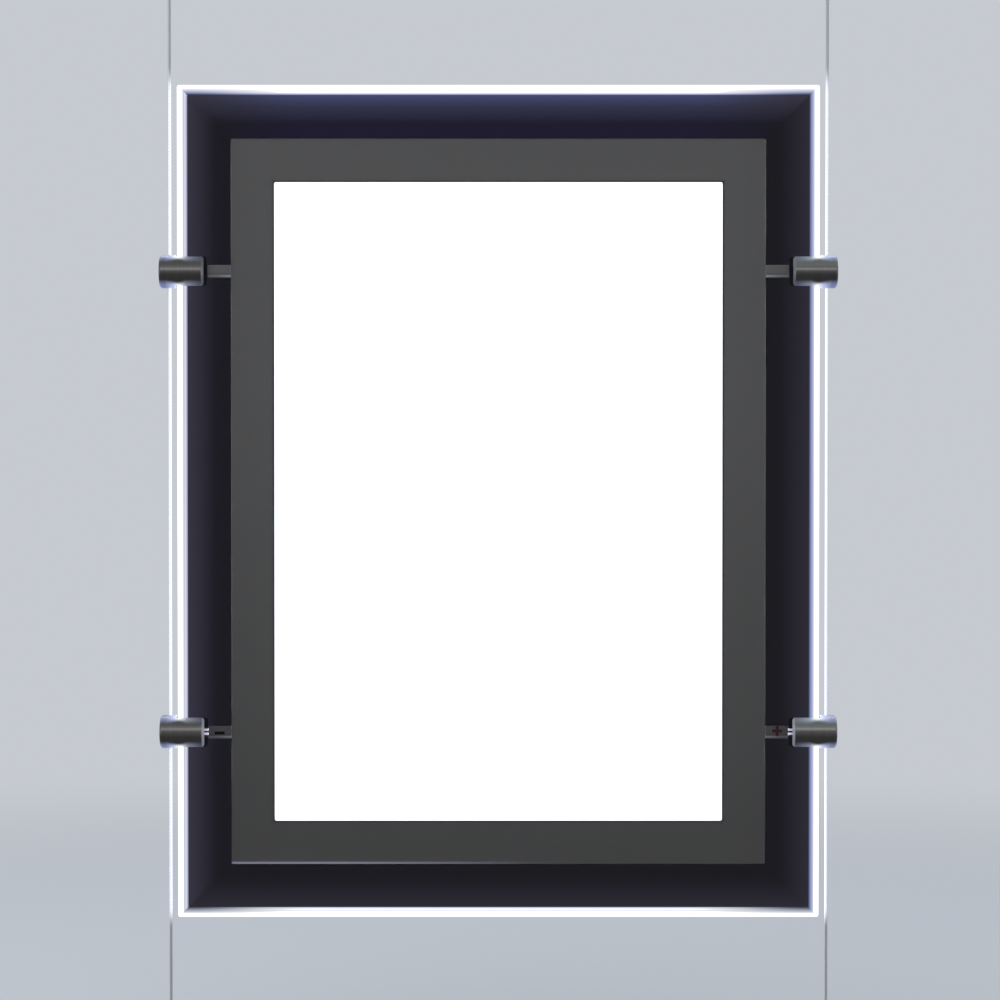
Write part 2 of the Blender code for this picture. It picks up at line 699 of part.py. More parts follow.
def barrel_mesh(with_pin_hole):
    outer = -BARREL_PAST_CABLE
    profile = (
        (0, outer),
        (BARREL_RADIUS - BARREL_CHAMFER, outer),
        (BARREL_RADIUS, outer + BARREL_CHAMFER),
        (BARREL_RADIUS, BARREL_MOUTH - BARREL_CHAMFER),
        (BARREL_RADIUS - BARREL_CHAMFER, BARREL_MOUTH),
        (0, BARREL_MOUTH),
    )
    barrel = turned("clamp_barrel", profile, BARREL_STEPS)
    barrel.transform(Matrix.Rotation(math.pi / 2, 4, "Y"))
    reach = BARREL_RADIUS + CUT_OVERRUN
    slot = block((SLOT_END, -SLOT_HALF, -reach), (BARREL_MOUTH + CUT_OVERRUN, SLOT_HALF, reach))
    cable_bore = rod(CABLE_BORE_RADIUS, (0, 0, -reach), (0, 0, reach), SMALL_STEPS)
    lock_bore = rod(
        LOCK_SCREW_RADIUS + THREAD_GAP, (outer - CUT_OVERRUN, 0, 0), (-CABLE_RADIUS, 0, 0), SMALL_STEPS
    )
    panel_bore = rod(
        PANEL_SCREW_RADIUS + THREAD_GAP, (PANEL_SCREW_X, 0, 0), (PANEL_SCREW_X, reach, 0), SMALL_STEPS
    )
    tools = [slot, cable_bore, lock_bore, panel_bore]
    if with_pin_hole:
        radius = PIN_SPIGOT_RADIUS + THREAD_GAP
        floor = SLOT_END - PIN_SPIGOT_LENGTH - THREAD_GAP
        tools.append(rod(radius, (floor, 0, 0), (SLOT_END + CUT_OVERRUN, 0, 0), SMALL_STEPS))
    return cut(barrel, tools)


def liner_mesh(with_pin_hole):
    """Black sleeve round the panel's edge, with a lip over the barrel's mouth.

    For a contact pin its back is bored, and its lips are notched so that the pin's tip can be seen.
    """
    panel_half = PANEL_THICKNESS / 2 + SHEET_GAP
    lip = LINER_HALF + LINER_LIP_HEIGHT
    back = SLOT_END + SHEET_GAP
    web = back + LINER_THICKNESS
    mouth = BARREL_MOUTH + SHEET_GAP
    upper = (
        (web, panel_half), (LINER_TIP, panel_half), (LINER_TIP, lip),
        (mouth, lip), (mouth, LINER_HALF), (back, LINER_HALF),
    )
    outline = upper + tuple((x, -y) for x, y in reversed(upper))
    shape = bmesh.new()
    mesh = extruded("clamp_liner", outline, -CHEEK_HALF, CHEEK_HALF)
    shape.from_mesh(mesh)
    corners = [edge for edge in shape.edges if is_liner_corner(edge)]
    bmesh.ops.bevel(
        shape, geom=corners, offset=LINER_CORNER, segments=CORNER_STEPS, affect="EDGES", profile=0.5
    )
    rounded = finished(shape, "clamp_liner")
    if not with_pin_hole:
        return rounded
    hole = rod(PIN_HOLE_RADIUS, (back - CUT_OVERRUN, 0, 0), (web + CUT_OVERRUN, 0, 0), SMALL_STEPS)
    reach = lip + CUT_OVERRUN
    notch = block(
        (BARREL_MOUTH - SHEET_GAP, -reach, -PIN_HOLE_RADIUS),
        (LINER_TIP + CUT_OVERRUN, reach, PIN_HOLE_RADIUS),
    )
    return cut(rounded, [hole, notch])


def is_liner_corner(edge):
    """Whether an edge runs front to back at one of the liner's outer ends."""
    first, last = (vert.co for vert in edge.verts)
    at_tip = min(first.x, last.x) > LINER_TIP - SHEET_GAP
    at_end = abs(first.z) > CHEEK_HALF - SHEET_GAP and abs(first.z - last.z) < MERGE_DISTANCE
    return at_tip and at_end


def contact_pin_mesh():
    """Plug pin on the barrel's axis, its tip slit into two springing halves."""
    start = SLOT_END + SHEET_GAP
    profile = (
        (0, SLOT_END - PIN_SPIGOT_LENGTH),
        (PIN_SPIGOT_RADIUS, SLOT_END - PIN_SPIGOT_LENGTH),
        (PIN_SPIGOT_RADIUS, start),
        (PIN_RADIUS, start),
        (PIN_RADIUS, PIN_TIP - PIN_CHAMFER),
        (PIN_RADIUS - PIN_CHAMFER, PIN_TIP),
        (0, PIN_TIP),
    )
    pin = turned("contact_pin", profile, SMALL_STEPS)
    pin.transform(Matrix.Rotation(math.pi / 2, 4, "Y"))
    half = PIN_SLIT_WIDTH / 2
    reach = PIN_RADIUS + CUT_OVERRUN
    low = (PIN_TIP - PIN_SLIT_LENGTH, -reach, -half)
    return cut(pin, [block(low, (PIN_TIP + CUT_OVERRUN, reach, half))])


def terminal_mesh():
    """Contact in the duct: a tongue into the pin's slit, and a bore for the feed wire."""
    body = rod(TERMINAL_RADIUS, (TERMINAL_START, 0, 0), (TERMINAL_END, 0, 0), SMALL_STEPS)
    body.name = "contact_terminal"
    half_y = TONGUE_WIDTH / 2
    half_z = PIN_SLIT_WIDTH / 2 - SHEET_GAP
    low = (PIN_TIP - TONGUE_LENGTH, -half_y, -half_z)
    high = (TERMINAL_START + SEAT_GAP, half_y, half_z)
    tongued = joined(body, [block(low, high)])
    bore_start = (TERMINAL_END - WIRE_IN_TERMINAL - SEAT_GAP, 0, 0)
    bore_end = (TERMINAL_END + CUT_OVERRUN, 0, 0)
    return cut(tongued, [rod(WIRE_RADIUS + SEAT_GAP, bore_start, bore_end, SMALL_STEPS)])


def feed_wire_curve():
    """Short insulated wire from the terminal along the duct to the back of the LED board."""
    start = TERMINAL_END - WIRE_IN_TERMINAL
    end = CABLE_X - BOARD_BACK_X - SEAT_GAP
    curve = bpy.data.curves.new("feed_wire", "CURVE")
    curve.dimensions = "3D"
    curve.bevel_depth = WIRE_RADIUS
    curve.bevel_resolution = 2
    curve.use_fill_caps = True
    spline = curve.splines.new("POLY")
    spline.points.add(WIRE_POINTS - 1)
    for i, point in enumerate(spline.points):
        share = i / (WIRE_POINTS - 1)
        along = max(0.0, 2 * share - 1)
        sway = WIRE_SWAY * (1 - math.cos(math.tau * along)) / 2
        point.co = (start + share * (end - start), 0, sway, 1)
    return curve


def duct_cover_mesh():
    """Grey tab that closes the duct between the cover's seat and the clamp."""
    inner = CABLE_X - SEAT_X - SHEET_GAP
    middle = (TAB_TIP + inner) / 2
    half_x = (inner - TAB_TIP) / 2
    half_z = TAB_WIDTH / 2
    radius = TAB_CHAMFER / 2
    back = PANEL_FRONT + TAB_THICKNESS
    levels = (
        (half_x - TAB_CHAMFER, half_z - TAB_CHAMFER, radius, PANEL_FRONT),
        (half_x, half_z, radius, PANEL_FRONT + TAB_CHAMFER),
        (half_x, half_z, radius, back),
    )
    tab = stacked("duct_cover", levels)
    tab.transform(Matrix.Translation((middle, 0, 0)))
    return tab


def build_clamps(display, nickel, brass, grey):
    rubber = material("black_rubber", (0.012, 0.012, 0.013), 0.60)
    dark_steel = material("blackened_steel", (0.10, 0.10, 0.11), 0.35, metallic=1.0)
    insulation = material("wire_insulation", (0.03, 0.03, 0.03), 0.50)
    barrels = {"upper": barrel_mesh(False), "lower": barrel_mesh(True)}
    liners = {"upper": liner_mesh(False), "lower": liner_mesh(True)}
    tab = duct_cover_mesh()
    pin = contact_pin_mesh()
    terminal = terminal_mesh()
    lock_tip = -CABLE_RADIUS - SEAT_GAP
    lock_length = BARREL_PAST_CABLE - LOCK_SCREW_RECESS + lock_tip
    lock = grub_screw("cable_lock_screw", LOCK_SCREW_RADIUS, lock_length, SMALL_STEPS)
    lock.transform(Matrix.Rotation(-math.pi / 2, 4, "Y"))
    screw_length = BARREL_RADIUS - PANEL_SCREW_RECESS - SLOT_HALF
    screw = grub_screw("panel_lock_screw", PANEL_SCREW_RADIUS, screw_length, SMALL_STEPS)
    screw.transform(Matrix.Rotation(-math.pi / 2, 4, "X"))
    for level, up in LEVELS:
        for side, sign in SIDES:
            tag = f"{level}_{side}"
            turn = (0, math.pi, 0) if sign > 0 else (0, 0, 0)
            clamp = empty(f"clamp_{tag}", display, (sign * CABLE_X, 0, up * CLAMP_Z), turn)
            piece(f"clamp_barrel_{tag}", barrels[level], nickel, clamp)
            piece(f"clamp_liner_{tag}", liners[level], rubber, clamp)
            piece(f"cable_lock_screw_{tag}", lock, dark_steel, clamp, (lock_tip, 0, 0))
            piece(f"panel_lock_screw_{tag}", screw, dark_steel, clamp, (PANEL_SCREW_X, SLOT_HALF, 0))
            piece(f"duct_cover_{tag}", tab, grey, clamp)
            if level == "lower":
                piece(f"contact_pin_{side}", pin, bright_nickel(), clamp)
                piece(f"contact_terminal_{side}", terminal, brass, clamp)
                piece(f"feed_wire_{side}", feed_wire_curve(), insulation, clamp)


# Magnets: one set in the base panel, one on the back of the cover, face to face

def build_magnets(display, cover):
    plated = bright_nickel()
    base = rod(MAGNET_RADIUS, (0, BASE_MAGNET_FRONT, 0), (0, BASE_MAGNET_BACK, 0), SMALL_STEPS)
    front = rod(MAGNET_RADIUS, (0, COVER_MAGNET_FRONT, 0), (0, COVER_MAGNET_BACK, 0), SMALL_STEPS)
    for level, up in LEVELS:
        for side, sign in SIDES:
            place = (sign * MAGNET_X, 0, up * MAGNET_Z)
            piece(f"base_magnet_{level}_{side}", base, plated, display, place)
            piece(f"cover_magnet_{level}_{side}", front, plated, cover, place)


# Cover: a clear plate with the grey border as a film on its back

def build_cover(cover, grey):
    levels = (
        (COVER_X - COVER_CHAMFER, COVER_Z - COVER_CHAMFER, COVER_CORNER, COVER_FRONT),
        (COVER_X, COVER_Z, COVER_CORNER, COVER_FRONT + COVER_CHAMFER),
        (COVER_X, COVER_Z, COVER_CORNER, COVER_BACK),
    )
    piece("cover_plate", stacked("cover_plate", levels), clear_acrylic(), cover)
    film = (
        (COVER_X, COVER_Z, COVER_CORNER, FILM_FRONT),
        (COVER_X, COVER_Z, COVER_CORNER, FILM_BACK),
        (WINDOW_X, WINDOW_Z, WINDOW_CORNER, FILM_BACK),
        (WINDOW_X, WINDOW_Z, WINDOW_CORNER, FILM_FRONT),
    )
    piece("border_film", stacked("border_film", film, ring=True), grey, cover)


def build_all():
    clear_scene()
    nickel = satin_nickel()
    brass = plated_brass()
    grey = border_grey()
    build_fixings(nickel, brass)
    build_cables()
    display = empty("display", None, (0, 0, -PANEL_CENTRE_DROP))
    cover = empty("cover", display, (0, 0, 0))
    piece("base_panel", base_panel_mesh(), smoke_acrylic(), display)
    build_light_stack(display)
    build_led_boards(display)
    build_clamps(display, nickel, brass, grey)
    build_magnets(display, cover)
    build_cover(cover, grey)


build_all()
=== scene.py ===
"""Hanging A4 poster display in edge-lit acrylic between two steel cables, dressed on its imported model."""
import math

import bmesh
import bpy
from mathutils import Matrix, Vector


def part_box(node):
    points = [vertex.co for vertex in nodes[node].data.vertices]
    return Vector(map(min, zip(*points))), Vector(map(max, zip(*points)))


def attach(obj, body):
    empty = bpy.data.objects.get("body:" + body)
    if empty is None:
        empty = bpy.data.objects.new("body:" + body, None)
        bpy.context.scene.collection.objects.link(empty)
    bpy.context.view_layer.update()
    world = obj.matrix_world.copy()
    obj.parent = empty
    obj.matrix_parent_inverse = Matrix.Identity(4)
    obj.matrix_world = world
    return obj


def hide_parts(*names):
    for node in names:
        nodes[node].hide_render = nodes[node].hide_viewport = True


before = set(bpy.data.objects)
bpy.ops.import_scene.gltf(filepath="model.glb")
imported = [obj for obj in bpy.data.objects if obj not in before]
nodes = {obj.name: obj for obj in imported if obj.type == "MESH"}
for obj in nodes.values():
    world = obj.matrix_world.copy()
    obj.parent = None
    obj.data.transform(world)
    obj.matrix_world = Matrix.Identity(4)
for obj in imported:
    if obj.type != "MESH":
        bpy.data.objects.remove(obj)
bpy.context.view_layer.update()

# Camera: a long lens in front of the display, a finger's width above its middle, so that the display fills
# the square picture from just under the ceiling fixings to just over the tension barrels.
panel_low, panel_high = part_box("base_panel")
panel_centre = (panel_low + panel_high) / 2
PICTURE_HEIGHT = 0.4567
CAMERA_DISTANCE = 1.27
LOOK_DOWN = math.radians(0.9)
PICTURE_SHIFT_X = 0.00165
PICTURE_SHIFT_Y = 0.0019
NEAREST_SEEN = 0.01

lens = bpy.data.cameras.new("camera")
lens.angle = 2 * math.atan(PICTURE_HEIGHT / 2 / CAMERA_DISTANCE)
lens.shift_x = PICTURE_SHIFT_X
lens.shift_y = PICTURE_SHIFT_Y
lens.clip_start = NEAREST_SEEN
camera = bpy.data.objects.new("camera", lens)
camera.location = panel_centre + CAMERA_DISTANCE * Vector((0, -math.cos(LOOK_DOWN), math.sin(LOOK_DOWN)))
camera.rotation_euler = (math.radians(90) - LOOK_DOWN, 0, 0)
bpy.context.scene.collection.objects.link(camera)
bpy.context.scene.camera = camera
bpy.context.scene.view_settings.view_transform = "Standard"


# Cables: two 1.5 mm stainless steel ropes, laid from six bright wires round a core, drawn taut from stop to
# stop. They carry the display and its low-voltage supply, so they are bare.
ROPE_RADIUS = 0.00075
ROPE_LAY = 0.0100
ROPE_STEP = 0.0007
STRAND_COUNT = 6
STRAND_RADIUS = ROPE_RADIUS / 3
STRAND_CIRCLE = ROPE_RADIUS - STRAND_RADIUS
LIT_PAST_TOP = 0.009
LIT_FADE = 0.005
UNLIT_OUTWARD = 0.75
LIT_OUTWARD = -0.35
ROUND_UP_TO = math.radians(32)


def colour(code):
    """Linear colour for an sRGB hex value."""
    shares = [int(code[i:i + 2], 16) / 255 for i in (1, 3, 5)]
    return (*[s / 12.92 if s <= 0.04045 else ((s + 0.055) / 1.055) ** 2.4 for s in shares], 1.0)


def new_finish(name):
    """An empty material and its node tree. Surfaces that glow aren't sampled as lamps, which saves time."""
    made = bpy.data.materials.new(name)
    made.use_nodes = True
    made.node_tree.nodes.clear()
    made.cycles.emission_sampling = "NONE"
    return made, made.node_tree


def add(tree, kind, inputs=None, stops=(), **settings):
    """A node with its settings and a ramp's colour stops.

    An input is a value, the socket that feeds it, or a node whose first output feeds it.
    """
    made = tree.nodes.new(kind)
    for i, (place, code) in enumerate(stops):
        ramp = made.color_ramp.elements
        stop = ramp[i] if i < len(ramp) else ramp.new(place)
        stop.position = place
        stop.color = colour(code)
    for key, value in settings.items():
        setattr(made, key, value)
    for key, value in (inputs or {}).items():
        if isinstance(value, bpy.types.Node):
            value = value.outputs[0]
        if isinstance(value, bpy.types.NodeSocket):
            tree.links.new(value, made.inputs[key])
        else:
            made.inputs[key].default_value = value
    return made


def new_piece(name, shape, finish, body):
    """A piece of the display from a bmesh in the row frame, riding on a body."""
    mesh = bpy.data.meshes.new(name)
    bmesh.ops.recalc_face_normals(shape, faces=shape.faces)
    shape.to_mesh(mesh)
    shape.free()
    mesh.materials.append(finish)
    mesh.shade_smooth()
    mesh.set_sharp_from_angle(angle=ROUND_UP_TO)
    made = bpy.data.objects.new(name, mesh)
    bpy.context.scene.collection.objects.link(made)
    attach(made, body)
    return made


def drawn_steel():
    # Drawn stainless wire: bright grey, with a fine unevenness from the drawing die, 0.15 mm wide. Beside the
    # panel it catches the light of the panel's edge, most on the side that faces it, from just over the
    # panel's top down to its bottom.
    made, tree = new_finish("drawn_stainless_wire")
    place = add(tree, "ShaderNodeTexCoord")
    grain = add(tree, "ShaderNodeTexNoise", {"Vector": place.outputs["Object"], "Scale": 6500, "Detail": 2})
    rough = add(tree, "ShaderNodeMapRange", {"Value": grain, "To Min": 0.22, "To Max": 0.38})
    spot = add(tree, "ShaderNodeSeparateXYZ", {"Vector": place.outputs["Object"]})
    turned = add(tree, "ShaderNodeSeparateXYZ", {"Vector": place.outputs["Normal"]})
    below_top = add(
        tree, "ShaderNodeMapRange",
        {
            "Value": spot.outputs["Z"], "From Min": panel_high.z + LIT_PAST_TOP,
            "From Max": panel_high.z - LIT_FADE,
        },
        interpolation_type="SMOOTHSTEP",
    )
    above_bottom = add(
        tree, "ShaderNodeMapRange",
        {
            "Value": spot.outputs["Z"], "From Min": panel_low.z - LIT_FADE,
            "From Max": panel_low.z + LIT_FADE,
        },
        interpolation_type="SMOOTHSTEP",
    )
    beside = add(tree, "ShaderNodeMath", {0: below_top, 1: above_bottom}, operation="MULTIPLY")
    side = add(tree, "ShaderNodeMath", {0: spot.outputs["X"]}, operation="SIGN")
    outward = add(tree, "ShaderNodeMath", {0: turned.outputs["X"], 1: side}, operation="MULTIPLY")
    facing = add(
        tree, "ShaderNodeMapRange", {"Value": outward, "From Min": UNLIT_OUTWARD, "From Max": LIT_OUTWARD},
        interpolation_type="SMOOTHSTEP",
    )
    caught = add(tree, "ShaderNodeMath", {0: beside, 1: facing}, operation="MULTIPLY")
    shader = add(
        tree, "ShaderNodeBsdfPrincipled",
        {
            "Base Color": colour("#b2b4b8"), "Metallic": 1.0, "Roughness": rough,
            "Emission Color": colour("#eef0ff"), "Emission Strength": caught,
        },
    )
    add(tree, "ShaderNodeOutputMaterial", {"Surface": shader})
    return made


strand_angles = [math.radians(a) for a in (-29, -18, -6, 6, 18)]
wire_steel = drawn_steel()

for side in ("left", "right"):
    low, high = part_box(f"cable_{side}")
    rope_x = (low.x + high.x) / 2
    rings = int((high.z - low.z) / ROPE_STEP)
    shape = bmesh.new()
    loops = []
    for i in range(rings + 1):
        z = high.z + (low.z - high.z) * i / rings
        twist = math.tau * (high.z - z) / ROPE_LAY
        loop = []
        for strand in range(STRAND_COUNT):
            for lean in strand_angles:
                reach = STRAND_CIRCLE * math.cos(lean)
                reach += math.sqrt(max(0.0, STRAND_RADIUS ** 2 - (STRAND_CIRCLE * math.sin(lean)) ** 2))
                turn = twist + math.tau * strand / STRAND_COUNT + lean
                loop.append(shape.verts.new((rope_x + reach * math.cos(turn), reach * math.sin(turn), z)))
        loops.append(loop)
    for near, far in zip(loops, loops[1:]):
        for i in range(len(near)):
            j = (i + 1) % len(near)
            shape.faces.new((near[i], near[j], far[j], far[i]))
    shape.faces.new(loops[0])
    shape.faces.new(loops[-1])
    rope = new_piece(f"steel_rope_{side}", shape, wire_steel, "room_fixings")
    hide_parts(f"cable_{side}")


# Ceiling and floor fixings: turned brass under satin nickel. Each base is screwed to the building, the cap or
# the tension barrel is screwed over it, and the cable's stop sits inside.
JOIN_WITHIN = 0.000001


def lathe_rings(tree, place, density):
    """Satin nickel's colour, roughness and ridges, which vary in rings. Density is per metre on each axis."""
    stretch = add(tree, "ShaderNodeMapping", {"Vector": place.outputs["Object"], "Scale": density})
    rings = add(tree, "ShaderNodeTexNoise", {"Vector": stretch, "Scale": 1.0, "Detail": 2})
    tint = add(tree, "ShaderNodeValToRGB", {"Fac": rings}, stops=((0.3, "#5a5856"), (0.7, "#646260")))
    wear = add(tree, "ShaderNodeMapRange", {"Value": rings, "To Min": 0.26, "To Max": 0.32})
    ridge = add(tree, "ShaderNodeBump", {"Height": rings, "Strength": 0.05, "Distance": 0.00002})
    return tint, wear, ridge


def satin_nickel():
    # Satin nickel on turned brass: a dark warm grey with fine rings left by the lathe, 0.12 mm apart (drawn
    # at 0.3 mm so that they show), which keep its highlights in narrow bands that run along the axis.
    made, tree = new_finish("satin_nickel_upright")
    place = add(tree, "ShaderNodeTexCoord")
    tint, wear, ridge = lathe_rings(tree, place, (40, 40, 3300))
    shader = add(
        tree, "ShaderNodeBsdfPrincipled",
        {"Base Color": tint, "Metallic": 1.0, "Roughness": wear, "Normal": ridge},
    )
    add(tree, "ShaderNodeOutputMaterial", {"Surface": shader})
    return made


def plated_brass():
    # Machined brass under thin tin: pale yellow, dulled by handling in cloudy patches 1.4 mm wide.
    made, tree = new_finish("machined_brass")
    place = add(tree, "ShaderNodeTexCoord")
    cloud = add(tree, "ShaderNodeTexNoise", {"Vector": place.outputs["Object"], "Scale": 700, "Detail": 4})
    tint = add(tree, "ShaderNodeValToRGB", {"Fac": cloud}, stops=((0.0, "#b79a5e"), (1.0, "#dcc48a")))
    wear = add(tree, "ShaderNodeMapRange", {"Value": cloud, "To Min": 0.20, "To Max": 0.40})
    shader = add(
        tree, "ShaderNodeBsdfPrincipled",
        {"Base Color": tint, "Metallic": 1.0, "Roughness": wear},
    )
    add(tree, "ShaderNodeOutputMaterial", {"Surface": shader})
    return made


def rounded_shading():
    """A modifier tree that shades a faceted solid as round, and keeps its sharper edges crisp."""
    made = bpy.data.node_groups.new("rounded_shading", "GeometryNodeTree")
    made.interface.new_socket("Solid", in_out="INPUT", socket_type="NodeSocketGeometry")
    made.interface.new_socket("Solid", in_out="OUTPUT", socket_type="NodeSocketGeometry")
    solid = add(made, "NodeGroupInput")
    joined = add(made, "GeometryNodeMergeByDistance", {"Geometry": solid, "Distance": JOIN_WITHIN})
    smooth = add(made, "GeometryNodeSetShadeSmooth", {"Geometry": joined}, domain="FACE")
    bend = add(made, "GeometryNodeInputMeshEdgeAngle")
    sharp = add(made, "FunctionNodeCompare", {0: bend, 1: ROUND_UP_TO}, operation="GREATER_THAN")
    crisp = add(
        made, "GeometryNodeSetShadeSmooth",
        {"Geometry": smooth, "Selection": sharp, "Shade Smooth": False}, domain="EDGE",
    )
    add(made, "NodeGroupOutput", {0: crisp})
    return made


rounding = rounded_shading()


def dress(names, finish, is_round=True):
    """Gives CAD nodes a finish, and round shading where they are turned, without touching their meshes."""
    for name in names:
        for slot in nodes[name].material_slots:
            slot.link = "OBJECT"
            slot.material = finish
        if is_round:
            nodes[name].modifiers.new("rounded_shading", "NODES").node_group = rounding


upright_nickel = satin_nickel()
brass = plated_brass()
for side in ("left", "right"):
    dress([f"ceiling_base_{side}", f"ceiling_cap_{side}"], upright_nickel)
    dress([f"floor_base_{side}", f"tension_barrel_{side}"], upright_nickel)
    dress([f"upper_cable_stop_{side}", f"lower_cable_stop_{side}"], brass)


# Base panel: a 6 mm slab of cast acrylic with a smoke tint, its front edges milled to a wide and a narrow
# bevel and polished. Light from the LED boards runs through it and leaves at the bevels, which shine white.
PANEL_HALF_X = (panel_high.x - panel_low.x) / 2
PANEL_HALF_Z = (panel_high.z - panel_low.z) / 2
BEVEL_WIDTH = 0.0050
BEVEL_OVERLAP = 0.0001
GLOW_REACH = 0.0130
MARGIN_WIDTH = panel_high.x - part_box("cover_plate")[1].x
GLOW_FADE = 0.008
CORNER_REACH = 0.060
BOOST_FROM = 0.86
BOOST_FULL = 0.98
BRIGHTEST = 1.8
LOWER_GLOW_SHARE = 0.58
RIGHT_GLOW_SHARE = 0.6
FLAT_FACE = 0.992


def smoke_acrylic():
    # Smoke-tinted cast acrylic: a glossy skin, with a haze in patches of 11 mm, over a dark, slightly violet
    # body. Its IOR is set under acrylic's 1.49, to keep the reflections faint. Light shines out of its
    # bevels, white along their outer edge. Further in each side darkens, the left and the bottom after a
    # second pale line, and the top and the bottom more so at the corners. The rest dies out in the margin.
    made, tree = new_finish("smoke_cast_acrylic")
    place = add(tree, "ShaderNodeTexCoord")
    spot = add(tree, "ShaderNodeSeparateXYZ", {0: place.outputs["Object"]})
    facing = add(tree, "ShaderNodeSeparateXYZ", {0: place.outputs["Normal"]})
    over = add(tree, "ShaderNodeMath", {0: spot.outputs["Z"], 1: panel_centre.z}, operation="SUBTRACT")
    across = add(tree, "ShaderNodeMath", {0: spot.outputs["X"]}, operation="ABSOLUTE")
    up = add(tree, "ShaderNodeMath", {0: over}, operation="ABSOLUTE")
    from_side = add(tree, "ShaderNodeMath", {0: PANEL_HALF_X, 1: across}, operation="SUBTRACT")
    from_end = add(tree, "ShaderNodeMath", {0: PANEL_HALF_Z, 1: up}, operation="SUBTRACT")
    inward = add(tree, "ShaderNodeMath", {0: from_side, 1: from_end}, operation="MINIMUM")
    at_end = add(tree, "ShaderNodeMath", {0: from_end, 1: from_side}, operation="LESS_THAN")
    on_top = add(tree, "ShaderNodeMath", {0: over, 1: 0.0}, operation="GREATER_THAN")
    on_right = add(tree, "ShaderNodeMath", {0: spot.outputs["X"], 1: 0.0}, operation="GREATER_THAN")
    mid_end = add(
        tree, "ShaderNodeMapRange",
        {"Value": from_side, "From Min": BEVEL_WIDTH, "From Max": CORNER_REACH},
        interpolation_type="SMOOTHSTEP",
    )

    depth = add(tree, "ShaderNodeMapRange", {"Value": inward, "From Max": BEVEL_WIDTH})
    left = add(
        tree, "ShaderNodeValToRGB", {"Fac": depth},
        stops=((0.48, "#ffffff"), (0.62, "#c0c2d0"), (0.80, "#dadcf0"), (1.0, "#888aa0")),
    )
    right = add(
        tree, "ShaderNodeValToRGB", {"Fac": depth},
        stops=((0.42, "#ffffff"), (0.62, "#b0b6d8"), (0.86, "#7880a8"), (0.97, "#383e60")),
    )
    top = add(
        tree, "ShaderNodeValToRGB", {"Fac": depth},
        stops=((0.76, "#ffffff"), (0.92, "#a8b0d8"), (1.0, "#4c5484")),
    )
    top_corner = add(
        tree, "ShaderNodeValToRGB", {"Fac": depth},
        stops=((0.30, "#ffffff"), (0.62, "#b8bcdc"), (0.95, "#2c3452")),
    )
    bottom = add(
        tree, "ShaderNodeValToRGB", {"Fac": depth},
        stops=((0.50, "#ffffff"), (0.64, "#e2e5f0"), (0.80, "#f8faff"), (1.0, "#b8bac4")),
    )
    bottom_corner = add(
        tree, "ShaderNodeValToRGB", {"Fac": depth},
        stops=((0.30, "#ffffff"), (0.56, "#b6bccc"), (0.95, "#3c404e")),
    )
    side = add(tree, "ShaderNodeMix", {"Factor": on_right, "A": left, "B": right}, data_type="RGBA")
    upper = add(tree, "ShaderNodeMix", {"Factor": mid_end, "A": top_corner, "B": top}, data_type="RGBA")
    lower = add(tree, "ShaderNodeMix", {"Factor": mid_end, "A": bottom_corner, "B": bottom}, data_type="RGBA")
    end = add(
        tree, "ShaderNodeMix",
        {"Factor": on_top, "A": lower.outputs["Result"], "B": upper.outputs["Result"]}, data_type="RGBA",
    )
    bevel = add(
        tree, "ShaderNodeMix",
        {"Factor": at_end, "A": side.outputs["Result"], "B": end.outputs["Result"]}, data_type="RGBA",
    ).outputs["Result"]
    grey = add(tree, "ShaderNodeRGBToBW", {"Color": bevel})
    bevel_light = add(
        tree, "ShaderNodeMapRange",
        {"Value": grey, "From Min": BOOST_FROM, "From Max": BOOST_FULL, "To Min": 1.0, "To Max": BRIGHTEST},
    )

    beyond = add(
        tree, "ShaderNodeMapRange",
        {"Value": inward, "From Min": BEVEL_WIDTH, "From Max": BEVEL_WIDTH + GLOW_REACH},
    )
    top_glow = add(
        tree, "ShaderNodeValToRGB", {"Fac": beyond},
        stops=((0.0, "#3e4268"), (0.40, "#282b42"), (1.0, "#0a0320")),
    )
    side_glow = add(
        tree, "ShaderNodeValToRGB", {"Fac": beyond},
        stops=((0.0, "#2e2c3a"), (0.50, "#201d2a"), (1.0, "#04010c")),
    )
    along_top = add(tree, "ShaderNodeMath", {0: at_end, 1: on_top}, operation="MULTIPLY")
    full_top = add(tree, "ShaderNodeMath", {0: along_top, 1: mid_end}, operation="MULTIPLY")
    glow = add(
        tree, "ShaderNodeMix", {"Factor": full_top, "A": side_glow, "B": top_glow}, data_type="RGBA"
    ).outputs["Result"]
    end_share = add(tree, "ShaderNodeMapRange", {"Value": on_top, "To Min": LOWER_GLOW_SHARE})
    side_share = add(
        tree, "ShaderNodeMapRange", {"Value": on_right, "To Min": 1.0, "To Max": RIGHT_GLOW_SHARE}
    )
    share = add(
        tree, "ShaderNodeMix", {"Factor": at_end, "A": side_share, "B": end_share}, data_type="FLOAT"
    ).outputs["Result"]
    in_margin = add(
        tree, "ShaderNodeMapRange",
        {"Value": inward, "From Min": MARGIN_WIDTH + GLOW_FADE, "From Max": MARGIN_WIDTH},
    )
    glow_light = add(tree, "ShaderNodeMath", {0: share, 1: in_margin}, operation="MULTIPLY")

